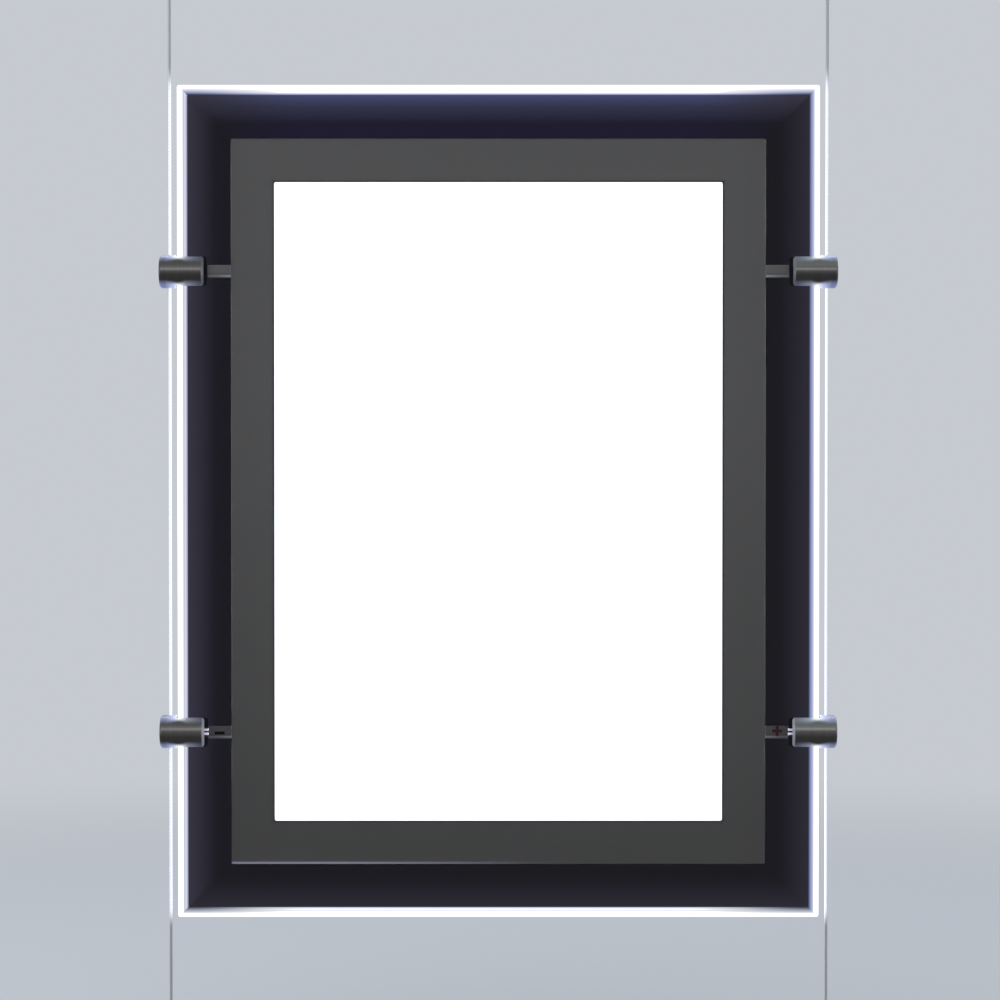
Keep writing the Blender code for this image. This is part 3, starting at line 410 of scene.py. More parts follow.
    tilt = add(tree, "ShaderNodeMath", {0: facing.outputs["Y"]}, operation="ABSOLUTE")
    tilted = add(tree, "ShaderNodeMath", {0: tilt, 1: FLAT_FACE}, operation="LESS_THAN")
    near_edge = add(
        tree, "ShaderNodeMath", {0: inward, 1: BEVEL_WIDTH + BEVEL_OVERLAP}, operation="LESS_THAN"
    )
    on_bevel = add(tree, "ShaderNodeMath", {0: tilted, 1: near_edge}, operation="MULTIPLY")
    light = add(
        tree, "ShaderNodeMix", {"Factor": on_bevel, "A": glow_light, "B": bevel_light}, data_type="FLOAT"
    ).outputs["Result"]
    light_colour = add(
        tree, "ShaderNodeMix", {"Factor": on_bevel, "A": glow, "B": bevel}, data_type="RGBA"
    ).outputs["Result"]
    haze = add(tree, "ShaderNodeTexNoise", {"Vector": place.outputs["Object"], "Scale": 90, "Detail": 3})
    rough = add(tree, "ShaderNodeMapRange", {"Value": haze, "To Min": 0.01, "To Max": 0.05})
    shader = add(
        tree, "ShaderNodeBsdfPrincipled",
        {
            "Base Color": colour("#ffffff"), "Roughness": rough, "IOR": 1.31,
            "Transmission Weight": 1.0, "Emission Color": light_colour, "Emission Strength": light,
        },
    )
    clear = add(tree, "ShaderNodeBsdfTransparent", {"Color": colour("#f9f9fa")})
    ray = add(tree, "ShaderNodeLightPath")
    either = add(tree, "ShaderNodeMixShader", {0: ray.outputs["Is Shadow Ray"], 1: shader, 2: clear})
    body = add(tree, "ShaderNodeVolumeAbsorption", {"Color": colour("#7c778b"), "Density": 1300.0})
    add(tree, "ShaderNodeOutputMaterial", {"Surface": either, "Volume": body})
    return made


dress(["base_panel"], smoke_acrylic(), is_round=False)


# Light stack in the panel's pocket: white reflector film, a 2 mm light guide with printed dots on its back,
# an opal diffuser film and the paper poster, a plain white sheet. The poster is the brightest thing here.
def reflector_film():
    # White polyester film: half gloss, with faint clouds 17 mm wide.
    made, tree = new_finish("white_reflector_film")
    place = add(tree, "ShaderNodeTexCoord")
    cloud = add(tree, "ShaderNodeTexNoise", {"Vector": place.outputs["Object"], "Scale": 60, "Detail": 4})
    tint = add(tree, "ShaderNodeValToRGB", {"Fac": cloud}, stops=((0.0, "#e4e5e8"), (1.0, "#f2f3f5")))
    shader = add(tree, "ShaderNodeBsdfPrincipled", {"Base Color": tint, "Roughness": 0.35})
    add(tree, "ShaderNodeOutputMaterial", {"Surface": shader})
    return made


def dotted_guide():
    # Extruded acrylic with white ink dots every 1.5 mm, which throw its light forwards.
    made, tree = new_finish("dotted_light_guide")
    place = add(tree, "ShaderNodeTexCoord")
    dots = add(
        tree, "ShaderNodeTexVoronoi", {"Vector": place.outputs["Object"], "Scale": 667, "Randomness": 0.0}
    )
    ink = add(tree, "ShaderNodeMath", {0: dots.outputs["Distance"], 1: 0.3}, operation="LESS_THAN")
    tint = add(
        tree, "ShaderNodeMix",
        {"Factor": ink, "A": colour("#dfe8f2"), "B": colour("#ffffff")}, data_type="RGBA",
    )
    shader = add(
        tree, "ShaderNodeBsdfPrincipled",
        {
            "Base Color": tint.outputs["Result"], "Roughness": 0.12, "IOR": 1.49,
            "Emission Color": tint.outputs["Result"], "Emission Strength": 0.6,
        },
    )
    add(tree, "ShaderNodeOutputMaterial", {"Surface": shader})
    return made


def lit_sheet(name, pale, dim, fibre_scale, strength):
    """A white sheet lit from behind, with its fibres or haze faintly seen in the light."""
    made, tree = new_finish(name)
    place = add(tree, "ShaderNodeTexCoord")
    fibre = add(
        tree, "ShaderNodeTexNoise", {"Vector": place.outputs["Object"], "Scale": fibre_scale, "Detail": 5}
    )
    tint = add(tree, "ShaderNodeValToRGB", {"Fac": fibre}, stops=((0.0, dim), (1.0, pale)))
    shader = add(
        tree, "ShaderNodeBsdfPrincipled",
        {
            "Base Color": tint, "Roughness": 0.8,
            "Emission Color": tint, "Emission Strength": strength,
        },
    )
    add(tree, "ShaderNodeOutputMaterial", {"Surface": shader})
    return made


dress(["reflector_sheet"], reflector_film(), is_round=False)
dress(["light_guide"], dotted_guide(), is_round=False)
# Opal polyester film: milky, without any visible structure but a slow haze 20 mm wide.
dress(["diffuser_sheet"], lit_sheet("opal_diffuser_film", "#ffffff", "#f4f7fb", 50, 0.8), is_round=False)
# Backlit paper: bright white, with fibres 1 mm long that show as a very faint cloudiness.
dress(["poster_sheet"], lit_sheet("backlit_paper", "#ffffff", "#f7f8fa", 900, 0.95), is_round=False)


# LED boards: white-masked circuit strips on edge along both long sides of the guide, each with a row of LEDs,
# joined at the bottom by a flat ribbon soldered across.
LED_FACE_DEPTH = 0.00005
TRACK_OFFSET = 0.00055
TRACK_HALF_WIDTH = 0.0003


def led_board_finish():
    # White solder mask on the board, with specks of 0.4 mm, and on its LEDs a yellow phosphor face that
    # shines towards the guide.
    made, tree = new_finish("white_solder_mask_with_leds")
    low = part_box("led_board_right")[0]
    place = add(tree, "ShaderNodeTexCoord")
    spot = add(tree, "ShaderNodeSeparateXYZ", {0: place.outputs["Object"]})
    across = add(tree, "ShaderNodeMath", {0: spot.outputs["X"]}, operation="ABSOLUTE")
    on_face = add(tree, "ShaderNodeMath", {0: across, 1: low.x + LED_FACE_DEPTH}, operation="LESS_THAN")
    speck = add(tree, "ShaderNodeTexNoise", {"Vector": place.outputs["Object"], "Scale": 2500, "Detail": 2})
    mask = add(tree, "ShaderNodeValToRGB", {"Fac": speck}, stops=((0.0, "#e6e7e4"), (1.0, "#f3f3f0")))
    tint = add(
        tree, "ShaderNodeMix",
        {"Factor": on_face, "A": mask, "B": colour("#f2d878")}, data_type="RGBA",
    )
    shader = add(
        tree, "ShaderNodeBsdfPrincipled",
        {
            "Base Color": tint.outputs["Result"], "Roughness": 0.35,
            "Emission Color": tint.outputs["Result"], "Emission Strength": on_face,
        },
    )
    add(tree, "ShaderNodeOutputMaterial", {"Surface": shader})
    return made


def amber_ribbon():
    # Polyimide film over copper: amber, with two darker copper tracks 1.1 mm apart.
    made, tree = new_finish("polyimide_ribbon")
    low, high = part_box("link_ribbon")
    place = add(tree, "ShaderNodeTexCoord")
    spot = add(tree, "ShaderNodeSeparateXYZ", {0: place.outputs["Object"]})
    off = add(tree, "ShaderNodeMath", {0: spot.outputs["Y"], 1: (low.y + high.y) / 2}, operation="SUBTRACT")
    off = add(tree, "ShaderNodeMath", {0: off}, operation="ABSOLUTE")
    off = add(tree, "ShaderNodeMath", {0: off, 1: TRACK_OFFSET}, operation="SUBTRACT")
    off = add(tree, "ShaderNodeMath", {0: off}, operation="ABSOLUTE")
    track = add(tree, "ShaderNodeMath", {0: off, 1: TRACK_HALF_WIDTH}, operation="LESS_THAN")
    tint = add(
        tree, "ShaderNodeMix",
        {"Factor": track, "A": colour("#c98a2c"), "B": colour("#8d5524")}, data_type="RGBA",
    )
    shader = add(tree, "ShaderNodeBsdfPrincipled", {"Base Color": tint.outputs["Result"], "Roughness": 0.3})
    add(tree, "ShaderNodeOutputMaterial", {"Surface": shader})
    return made


dress(["led_board_left", "led_board_right"], led_board_finish(), is_round=False)
dress(["link_ribbon"], amber_ribbon(), is_round=False)


# Ducts: grooves from the pocket to the clamps, closed by grey moulded tabs that snap in by a lip along their
# lower edge. The two lower ducts hold a brass contact and a black wire, and their tabs carry the pole's sign.
def moulded_grey(name, box, face, seam, lip):
    # Moulded ABS with a fine spark-eroded grain of 0.1 mm (drawn at 0.25 mm so that it shows). Its lower lip
    # is polished where it snaps home under a fine dark seam, and its paler grey is a painted highlight,
    # brightest next to the border.
    made, tree = new_finish(name)
    low, high = box
    place = add(tree, "ShaderNodeTexCoord")
    spot = add(tree, "ShaderNodeSeparateXYZ", {0: place.outputs["Object"]})
    half = (high.z - low.z) / 2
    rise = add(
        tree, "ShaderNodeMapRange", {"Value": spot.outputs["Z"], "From Min": -half, "From Max": half}
    )
    # The lip's paler grey is a painted highlight.
    shades = add(
        tree, "ShaderNodeValToRGB", {"Fac": rise},
        stops=((0.02, lip), (0.17, lip), (0.23, seam), (0.32, seam), (0.40, face), (1.0, face)),
    )
    on_lip = add(tree, "ShaderNodeMapRange", {"Value": rise, "From Min": 0.22, "From Max": 0.17})
    reach = (high.x - low.x) / 2
    inner = -reach if low.x > 0 else reach
    to_border = add(
        tree, "ShaderNodeMapRange",
        {"Value": spot.outputs["X"], "From Min": -0.2 * inner, "From Max": inner, "To Max": 0.8},
    )
    # Painted highlight: the lip is brightened further towards the border.
    gleam = add(tree, "ShaderNodeMath", {0: on_lip, 1: to_border}, operation="MULTIPLY")
    grain = add(tree, "ShaderNodeTexNoise", {"Vector": place.outputs["Object"], "Scale": 4000, "Detail": 3})
    mottle = add(tree, "ShaderNodeMapRange", {"Value": grain, "To Min": 0.90, "To Max": 1.10})
    bright = add(tree, "ShaderNodeMath", {0: mottle, 1: gleam}, operation="ADD")
    tint = add(tree, "ShaderNodeVectorMath", {0: shades, "Scale": bright}, operation="SCALE")
    rough = add(tree, "ShaderNodeMapRange", {"Value": on_lip, "To Min": 0.55, "To Max": 0.3})
    bump = add(tree, "ShaderNodeBump", {"Height": grain, "Strength": 0.15, "Distance": 0.00005})
    shader = add(
        tree, "ShaderNodeBsdfPrincipled",
        {"Base Color": tint, "Roughness": rough, "Specular IOR Level": 0.25, "Normal": bump},
    )
    add(tree, "ShaderNodeOutputMaterial", {"Surface": shader})
    return made


def ink(name, code):
    # Pad-printed ink: flat and matt, in blots of 0.3 mm that differ a little in gloss.
    made, tree = new_finish(name)
    place = add(tree, "ShaderNodeTexCoord")
    blot = add(tree, "ShaderNodeTexNoise", {"Vector": place.outputs["Object"], "Scale": 3000, "Detail": 2})
    rough = add(tree, "ShaderNodeMapRange", {"Value": blot, "To Min": 0.7, "To Max": 0.9})
    shader = add(
        tree, "ShaderNodeBsdfPrincipled",
        {"Base Color": colour(code), "Roughness": rough, "Specular IOR Level": 0.1},
    )
    add(tree, "ShaderNodeOutputMaterial", {"Surface": shader})
    return made


def prism(outline, low, high):
    """Outline of (x, z) points drawn out along Y."""
    shape = bmesh.new()
    front = [shape.verts.new((x, low, z)) for x, z in outline]
    back = [shape.verts.new((x, high, z)) for x, z in outline]
    shape.faces.new(front)
    shape.faces.new(back)
    for i in range(len(outline)):
        j = (i + 1) % len(outline)
        shape.faces.new((front[i], front[j], back[j], back[i]))
    return shape


TAB_LIP = 0.0010
LIP_SET_BACK = 0.00005
LIP_UNDERCUT = 0.00035
LIP_FOOT = 0.0004
LIP_TOP = 0.0002
TAB_SOFTENING = 0.00018
TAB_REACH = 0.00015
SIGN_STROKE = 0.0014
SIGN_LENGTH = 0.0046
MINUS_DROP = 0.0004
PLUS_RISE = 0.0005
INK_THICKNESS = 0.00004
CLAMPS = [(level, side) for level in ("upper", "lower") for side in ("left", "right")]

for level, side in CLAMPS:
    low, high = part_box(f"duct_cover_{level}_{side}")
    middle = (low + high) / 2
    shape = bmesh.new()
    section = (
        (low.y, high.z), (high.y, high.z), (high.y, low.z), (low.y + LIP_UNDERCUT, low.z),
        (low.y + LIP_SET_BACK, low.z + LIP_FOOT), (low.y + LIP_SET_BACK, low.z + TAB_LIP - LIP_TOP),
        (low.y, low.z + TAB_LIP),
    )
    ends = []
    reach = (high.x - low.x) / 2
    inner = reach + TAB_REACH
    for x in ((-reach, inner) if side == "left" else (-inner, reach)):
        ends.append([shape.verts.new((x, y, z - middle.z)) for y, z in section])
    shape.faces.new(ends[0])
    shape.faces.new(ends[1])
    for i in range(len(section)):
        j = (i + 1) % len(section)
        shape.faces.new((ends[0][i], ends[0][j], ends[1][j], ends[1][i]))
    hard = [edge for edge in shape.edges if max(vert.co.y for vert in edge.verts) < middle.y]
    hard = [edge for edge in hard if edge.calc_length() < reach]
    bmesh.ops.bevel(shape, geom=hard, offset=TAB_SOFTENING, segments=3, affect="EDGES", profile=0.5)
    # The third grey, the lip's, is paler as a painted highlight.
    greys = ("#565452", "#4a4b4b", "#67686a") if level == "upper" else ("#413f3f", "#3a3939", "#57585c")
    finish = moulded_grey(f"moulded_grey_{level}_{side}", (low, high), *greys)
    tab = new_piece(f"tab_{level}_{side}", shape, finish, "display")
    tab.location = (middle.x, 0, middle.z)
    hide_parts(f"duct_cover_{level}_{side}")

low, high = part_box("duct_cover_lower_left")
middle = (low + high) / 2
long_half, stroke_half = SIGN_LENGTH / 2, SIGN_STROKE / 2
outline = [
    (middle.x + x, middle.z - MINUS_DROP + z)
    for x, z in (
        (-long_half, -stroke_half), (long_half, -stroke_half), (long_half, stroke_half),
        (-long_half, stroke_half),
    )
]
print_layer = prism(outline, low.y - INK_THICKNESS, low.y + INK_THICKNESS)
minus = new_piece("minus_sign", print_layer, ink("black_ink", "#0a0909"), "display")

low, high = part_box("duct_cover_lower_right")
middle = (low + high) / 2
outline = []
for turn in range(4):
    way = Vector((math.cos(turn * math.pi / 2), math.sin(turn * math.pi / 2)))
    left = Vector((-way.y, way.x))
    for reach, lean in ((long_half, -stroke_half), (long_half, stroke_half), (stroke_half, stroke_half)):
        point = way * reach + left * lean
        outline.append((middle.x + point.x, middle.z + PLUS_RISE + point.y))
print_layer = prism(outline, low.y - INK_THICKNESS, low.y + INK_THICKNESS)
plus = new_piece("plus_sign", print_layer, ink("red_ink", "#381b21"), "display")


def wire_jacket():
    # Extruded PVC: black, half gloss, with faint drag lines along it, 0.2 mm wide.
    made, tree = new_finish("pvc_wire_jacket")
    place = add(tree, "ShaderNodeTexCoord")
    stretch = add(tree, "ShaderNodeMapping", {"Vector": place.outputs["Object"], "Scale": (200, 5000, 5000)})
    drag = add(tree, "ShaderNodeTexNoise", {"Vector": stretch, "Scale": 1.0, "Detail": 2})
    rough = add(tree, "ShaderNodeMapRange", {"Value": drag, "To Min": 0.35, "To Max": 0.55})
    shader = add(
        tree, "ShaderNodeBsdfPrincipled", {"Base Color": colour("#222122"), "Roughness": rough}
    )
    add(tree, "ShaderNodeOutputMaterial", {"Surface": shader})
    return made


def shade_dark_bronze():
    # Drawn phosphor bronze, cloudy in patches 1.1 mm wide, painted dark brown as shade so the slot reads
    # dark.
    made, tree = new_finish("phosphor_bronze_dark_as_shade")
    place = add(tree, "ShaderNodeTexCoord")
    cloud = add(tree, "ShaderNodeTexNoise", {"Vector": place.outputs["Object"], "Scale": 900, "Detail": 4})
    # Painted shade: the bronze is kept dark brown.
    tint = add(
        tree, "ShaderNodeValToRGB", {"Fac": cloud}, stops=((0.35, "#2b2420"), (0.65, "#4a3c30"))
    )
    shader = add(
        tree, "ShaderNodeBsdfPrincipled", {"Base Color": tint, "Metallic": 1.0, "Roughness": 0.4}
    )
    add(tree, "ShaderNodeOutputMaterial", {"Surface": shader})
    return made


jacket = wire_jacket()
bronze = shade_dark_bronze()
for side in ("left", "right"):
    dress([f"contact_terminal_{side}"], bronze)
    dress([f"feed_wire_{side}"], jacket)


# Clamps: turned barrels that lie across the panel's edges, slotted to take it, with a black rubber liner in
# the slot. One blackened grub screw locks each on its cable, and one behind locks it on the panel.
low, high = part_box("clamp_barrel_upper_right")
CLAMP_OFFSET = (low.z + high.z) / 2 - panel_centre.z
CLAMP_INNER_END = low.x
CLAMP_RADIUS = (high.z - low.z) / 2
CHAMFER_SEEN = 0.00088
CHAMFER_LIGHT_LOWER = 2.2
RIM_FROM_SHARE = 0.48
RIM_FULL_SHARE = 0.84
RIM_CURVE = 4.5
CAUGHT_OUTSIDE = 0.006
CAUGHT_INSIDE = 0.012
MIRROR_FROM_SHARE = 0.57
MIRROR_FULL_SHARE = 0.68
PIN_LIT_LENGTH = 0.0050
PIN_LIGHT = 2.6


def lit_satin_nickel():
    # Satin nickel again, with its rings round the level axis. The tops and bottoms of the barrels catch the
    # panel's light, painted as a glow: white at its bevel, blue beside it. The chamfer towards the picture
    # has a painted glow too, more on the lower barrels, and its metal is painted darker. The lower half of
    # each barrel is painted darker as shade, and the upper half of the two right ones has a painted
    # reflection of something greenish grey.
    made, tree = new_finish("satin_nickel_level")
    place = add(tree, "ShaderNodeTexCoord")
    spot = add(tree, "ShaderNodeSeparateXYZ", {0: place.outputs["Object"]})
    tint, wear, ridge = lathe_rings(tree, place, (3300, 40, 40))
    across = add(tree, "ShaderNodeMath", {0: spot.outputs["X"]}, operation="ABSOLUTE")
    on_chamfer = add(
        tree, "ShaderNodeMath", {0: across, 1: CLAMP_INNER_END + CHAMFER_SEEN}, operation="LESS_THAN"
    )

    over = add(tree, "ShaderNodeMath", {0: spot.outputs["Z"], 1: panel_centre.z}, operation="SUBTRACT")
    is_lower = add(tree, "ShaderNodeMath", {0: over, 1: 0.0}, operation="LESS_THAN")
    axis = add(
        tree, "ShaderNodeMapRange", {"Value": is_lower, "To Min": CLAMP_OFFSET, "To Max": -CLAMP_OFFSET}
    )
    rise = add(tree, "ShaderNodeMath", {0: over, 1: axis}, operation="SUBTRACT")
    off = add(tree, "ShaderNodeMath", {0: rise}, operation="ABSOLUTE")
    height = add(
        tree, "ShaderNodeMapRange", {"Value": rise, "From Min": -CLAMP_RADIUS, "From Max": CLAMP_RADIUS}
    )
    # Painted shade: the metal is darkened below each barrel's axis.
    lower_shade = add(
        tree, "ShaderNodeValToRGB", {"Fac": height},
        stops=((0.22, "#a5a5a5"), (0.38, "#b4b4b4"), (0.50, "#ececec"), (0.56, "#ffffff")),
    )
    shaded_tint = add(
        tree, "ShaderNodeMix", {"Factor": 1.0, "A": tint, "B": lower_shade}, data_type="RGBA",
        blend_type="MULTIPLY",
    ).outputs["Result"]
    # Painted shade: the chamfer's metal is darker, which dims the lamps' reflection in it.
    metal = add(
        tree, "ShaderNodeMix", {"Factor": on_chamfer, "A": shaded_tint, "B": colour("#343436")}, data_type="RGBA"
    ).outputs["Result"]
    to_rim = add(
        tree, "ShaderNodeMapRange",
        {
            "Value": off, "From Min": RIM_FROM_SHARE * CLAMP_RADIUS,
            "From Max": RIM_FULL_SHARE * CLAMP_RADIUS,
        },
        interpolation_type="SMOOTHSTEP",
    )
    from_edge = add(
        tree, "ShaderNodeMapRange",
        {
            "Value": across, "From Min": PANEL_HALF_X + CAUGHT_OUTSIDE,
            "From Max": PANEL_HALF_X - CAUGHT_INSIDE,
        },
    )
    caught = add(
        tree, "ShaderNodeValToRGB", {"Fac": from_edge},
        stops=(
            (0.05, "#6a749c"), (0.25, "#b0b8e0"), (0.39, "#f4f6ff"), (0.58, "#7c8498"), (0.90, "#4c5062"),
        ),
    )
    grey = add(tree, "ShaderNodeRGBToBW", {"Color": caught})
    bend = add(
        tree, "ShaderNodeMapRange",
        {"Value": grey, "From Min": 0.25, "From Max": 0.90, "To Min": 1.0, "To Max": RIM_CURVE},
    )
    at_rim = add(tree, "ShaderNodeMath", {0: to_rim, 1: bend}, operation="POWER")
    cut_light = add(
        tree, "ShaderNodeMapRange", {"Value": is_lower, "To Min": 1.0, "To Max": CHAMFER_LIGHT_LOWER}
    )
    light = add(
        tree, "ShaderNodeMix", {"Factor": on_chamfer, "A": at_rim, "B": cut_light}, data_type="FLOAT"
    ).outputs["Result"]
    light_colour = add(
        tree, "ShaderNodeMix", {"Factor": on_chamfer, "A": caught, "B": colour("#51535d")}, data_type="RGBA"
    ).outputs["Result"]
    glow = add(tree, "ShaderNodeVectorMath", {0: light_colour, "Scale": light}, operation="SCALE")
    is_right = add(tree, "ShaderNodeMath", {0: spot.outputs["X"], 1: 0.0}, operation="GREATER_THAN")
    mirrored = add(
        tree, "ShaderNodeMapRange",
        {
            "Value": height, "From Min": MIRROR_FROM_SHARE, "From Max": MIRROR_FULL_SHARE,
            "To Max": is_right,
        },
        interpolation_type="SMOOTHSTEP",
    )
    # Painted reflection: a greenish grey glow on the upper half of the two right barrels.
    painted_reflection = add(
        tree, "ShaderNodeVectorMath", {0: colour("#3b4342")[:3], "Scale": mirrored}, operation="SCALE"
    )
    all_light = add(tree, "ShaderNodeVectorMath", {0: glow, 1: painted_reflection})
    shader = add(
        tree, "ShaderNodeBsdfPrincipled",
        {
            "Base Color": metal, "Metallic": 1.0, "Roughness": wear, "Normal": ridge,
            "Emission Color": all_light, "Emission Strength": 1.0,
        },
    )
    add(tree, "ShaderNodeOutputMaterial", {"Surface": shader})
    return made


def black_rubber():
    # Moulded rubber: black and matt, with a dusty bloom in patches of 0.7 mm.
    made, tree = new_finish("moulded_black_rubber")
    place = add(tree, "ShaderNodeTexCoord")
    bloom = add(tree, "ShaderNodeTexNoise", {"Vector": place.outputs["Object"], "Scale": 1500, "Detail": 4})
    tint = add(tree, "ShaderNodeValToRGB", {"Fac": bloom}, stops=((0.0, "#040408"), (1.0, "#0c0c12")))
    shader = add(
        tree, "ShaderNodeBsdfPrincipled",
        {"Base Color": tint, "Roughness": 0.7, "Specular IOR Level": 0.15},
    )
    add(tree, "ShaderNodeOutputMaterial", {"Surface": shader})
    return made


def blackened_steel():
    # Oiled black oxide on steel: nearly black metal, brighter in rubbed patches of 0.5 mm.
    made, tree = new_finish("blackened_steel")
    place = add(tree, "ShaderNodeTexCoord")
    rub = add(tree, "ShaderNodeTexNoise", {"Vector": place.outputs["Object"], "Scale": 2200, "Detail": 4})
    tint = add(tree, "ShaderNodeValToRGB", {"Fac": rub}, stops=((0.0, "#2c2c2e"), (1.0, "#58585c")))
    shader = add(
        tree, "ShaderNodeBsdfPrincipled", {"Base Color": tint, "Metallic": 1.0, "Roughness": 0.35}
    )
    add(tree, "ShaderNodeOutputMaterial", {"Surface": shader})
    return made


def bright_nickel():
    # Bright nickel plate: near white metal, its polish uneven in spots of 0.3 mm.
    made, tree = new_finish("bright_nickel_plate")
    place = add(tree, "ShaderNodeTexCoord")
    hair = add(tree, "ShaderNodeTexNoise", {"Vector": place.outputs["Object"], "Scale": 3000, "Detail": 3})
    rough = add(tree, "ShaderNodeMapRange", {"Value": hair, "To Min": 0.08, "To Max": 0.22})
    shader = add(
        tree, "ShaderNodeBsdfPrincipled",
        {"Base Color": colour("#e2e3e8"), "Metallic": 1.0, "Roughness": rough},
    )
    add(tree, "ShaderNodeOutputMaterial", {"Surface": shader})
    return made


def lit_nickel():
    # Bright nickel plate on the contact pins, uneven in spots of 0.3 mm. Their split tips stand in the
    # panel's light and shine white.
    made, tree = new_finish("bright_nickel_plate_in_light")
    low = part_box("contact_pin_right")[0]
    place = add(tree, "ShaderNodeTexCoord")
    spot = add(tree, "ShaderNodeSeparateXYZ", {0: place.outputs["Object"]})
    across = add(tree, "ShaderNodeMath", {0: spot.outputs["X"]}, operation="ABSOLUTE")
    shine = add(
        tree, "ShaderNodeMapRange",
        {
            "Value": across, "From Min": low.x, "From Max": low.x + PIN_LIT_LENGTH, "To Min": PIN_LIGHT,
            "To Max": 0.0,
        },
    )
    hair = add(tree, "ShaderNodeTexNoise", {"Vector": place.outputs["Object"], "Scale": 3000, "Detail": 3})
    rough = add(tree, "ShaderNodeMapRange", {"Value": hair, "To Min": 0.12, "To Max": 0.26})
    shader = add(
        tree, "ShaderNodeBsdfPrincipled",
        {
            "Base Color": colour("#e2e3e8"), "Metallic": 1.0, "Roughness": rough,
            "Emission Color": colour("#f4f5ff"), "Emission Strength": shine,
        },
    )
    add(tree, "ShaderNodeOutputMaterial", {"Surface": shader})
    return made


level_nickel = lit_satin_nickel()
rubber = black_rubber()
black_steel = blackened_steel()
white_nickel = bright_nickel()
for level, side in CLAMPS:
    dress([f"clamp_barrel_{level}_{side}"], level_nickel)
    dress([f"clamp_liner_{level}_{side}"], rubber)
    dress([f"cable_lock_screw_{level}_{side}", f"panel_lock_screw_{level}_{side}"], black_steel)
lit_pin = lit_nickel()
for side in ("left", "right"):
    dress([f"contact_pin_{side}"], lit_pin)


# Magnets: nickel-plated discs, four in the panel's ledge and four under the cover, which hold the cover on.
for level, side in CLAMPS:
    dress([f"base_magnet_{level}_{side}", f"cover_magnet_{level}_{side}"], white_nickel)


# Cover: a 2 mm plate of clear acrylic that lies in the panel's seat. Its border is a dark grey film on its
# back, die-cut round the window, with a darker line along the window.
cover_low, cover_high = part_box("cover_plate")
COVER_HALF_X = cover_high.x
COVER_HALF_Z = cover_high.z - panel_centre.z
COVER_EDGE = 0.0010
EDGE_LINE_FROM = 0.00119
EDGE_LINE_FULL = 0.00049
LINE_ENDS_X = 0.046
LINE_FULL_X = -0.090
WINDOW_HALF_X = 0.1021
WINDOW_HALF_Z = 0.1456
WINDOW_LINE_WIDTH = 0.0012


def border_film():
    # Screen-printed polyester: a soft dark grey, with painted shade that darkens it towards its lower end,
    # and a fine mesh grain of 0.2 mm (drawn at 0.5 mm so that it shows). It has a darker line round the
    # window, and a paler line along the cover's bevelled rim, a painted highlight.
    made, tree = new_finish("screen_printed_border")
    place = add(tree, "ShaderNodeTexCoord")
    spot = add(tree, "ShaderNodeSeparateXYZ", {0: place.outputs["Object"]})
    across = add(tree, "ShaderNodeMath", {0: spot.outputs["X"]}, operation="ABSOLUTE")
    across = add(tree, "ShaderNodeMath", {0: across, 1: WINDOW_HALF_X}, operation="SUBTRACT")
    over = add(tree, "ShaderNodeMath", {0: spot.outputs["Z"], 1: panel_centre.z}, operation="SUBTRACT")
    up = add(tree, "ShaderNodeMath", {0: over}, operation="ABSOLUTE")
    up = add(tree, "ShaderNodeMath", {0: up, 1: WINDOW_HALF_Z}, operation="SUBTRACT")
    outward = add(tree, "ShaderNodeMath", {0: across, 1: up}, operation="MAXIMUM")
    line = add(
        tree, "ShaderNodeMapRange",
        {"Value": outward, "From Min": WINDOW_LINE_WIDTH, "From Max": WINDOW_LINE_WIDTH / 3, "To Max": 0.95},
    )
    height = add(
        tree, "ShaderNodeMapRange",
        {"Value": over, "From Min": -PANEL_HALF_Z, "From Max": PANEL_HALF_Z},
    )
    # Painted shade: the grey darkens towards the bottom.
    grey = add(tree, "ShaderNodeValToRGB", {"Fac": height}, stops=((0.10, "#353330"), (0.66, "#4b4947")))
    to_side = add(tree, "ShaderNodeMath", {0: spot.outputs["X"]}, operation="ABSOLUTE")
    to_side = add(tree, "ShaderNodeMath", {0: COVER_HALF_X, 1: to_side}, operation="SUBTRACT")
    to_end = add(tree, "ShaderNodeMath", {0: over}, operation="ABSOLUTE")
    to_end = add(tree, "ShaderNodeMath", {0: COVER_HALF_Z, 1: to_end}, operation="SUBTRACT")
    inward = add(tree, "ShaderNodeMath", {0: to_side, 1: to_end}, operation="MINIMUM")
    # Painted highlight: the film is paler along the cover's edge.
    edge = add(
        tree, "ShaderNodeMapRange",
        {"Value": inward, "From Min": COVER_EDGE, "From Max": COVER_EDGE / 2, "To Max": 0.12},
    )
    grain = add(tree, "ShaderNodeTexNoise", {"Vector": place.outputs["Object"], "Scale": 2000, "Detail": 2})
    shade = add(tree, "ShaderNodeMapRange", {"Value": grain, "To Min": 0.985, "To Max": 1.015})
    shade = add(tree, "ShaderNodeMath", {0: shade, 1: edge}, operation="ADD")
    grey = add(tree, "ShaderNodeVectorMath", {0: grey, "Scale": shade}, operation="SCALE")
    tint = add(
        tree, "ShaderNodeMix",
        {"Factor": line, "A": grey, "B": colour("#0a0a0b")}, data_type="RGBA",
    )
    shader = add(
        tree, "ShaderNodeBsdfPrincipled",
        {"Base Color": tint.outputs["Result"], "Roughness": 0.7, "Specular IOR Level": 0.1},
    )
    add(tree, "ShaderNodeOutputMaterial", {"Surface": shader})
    return made


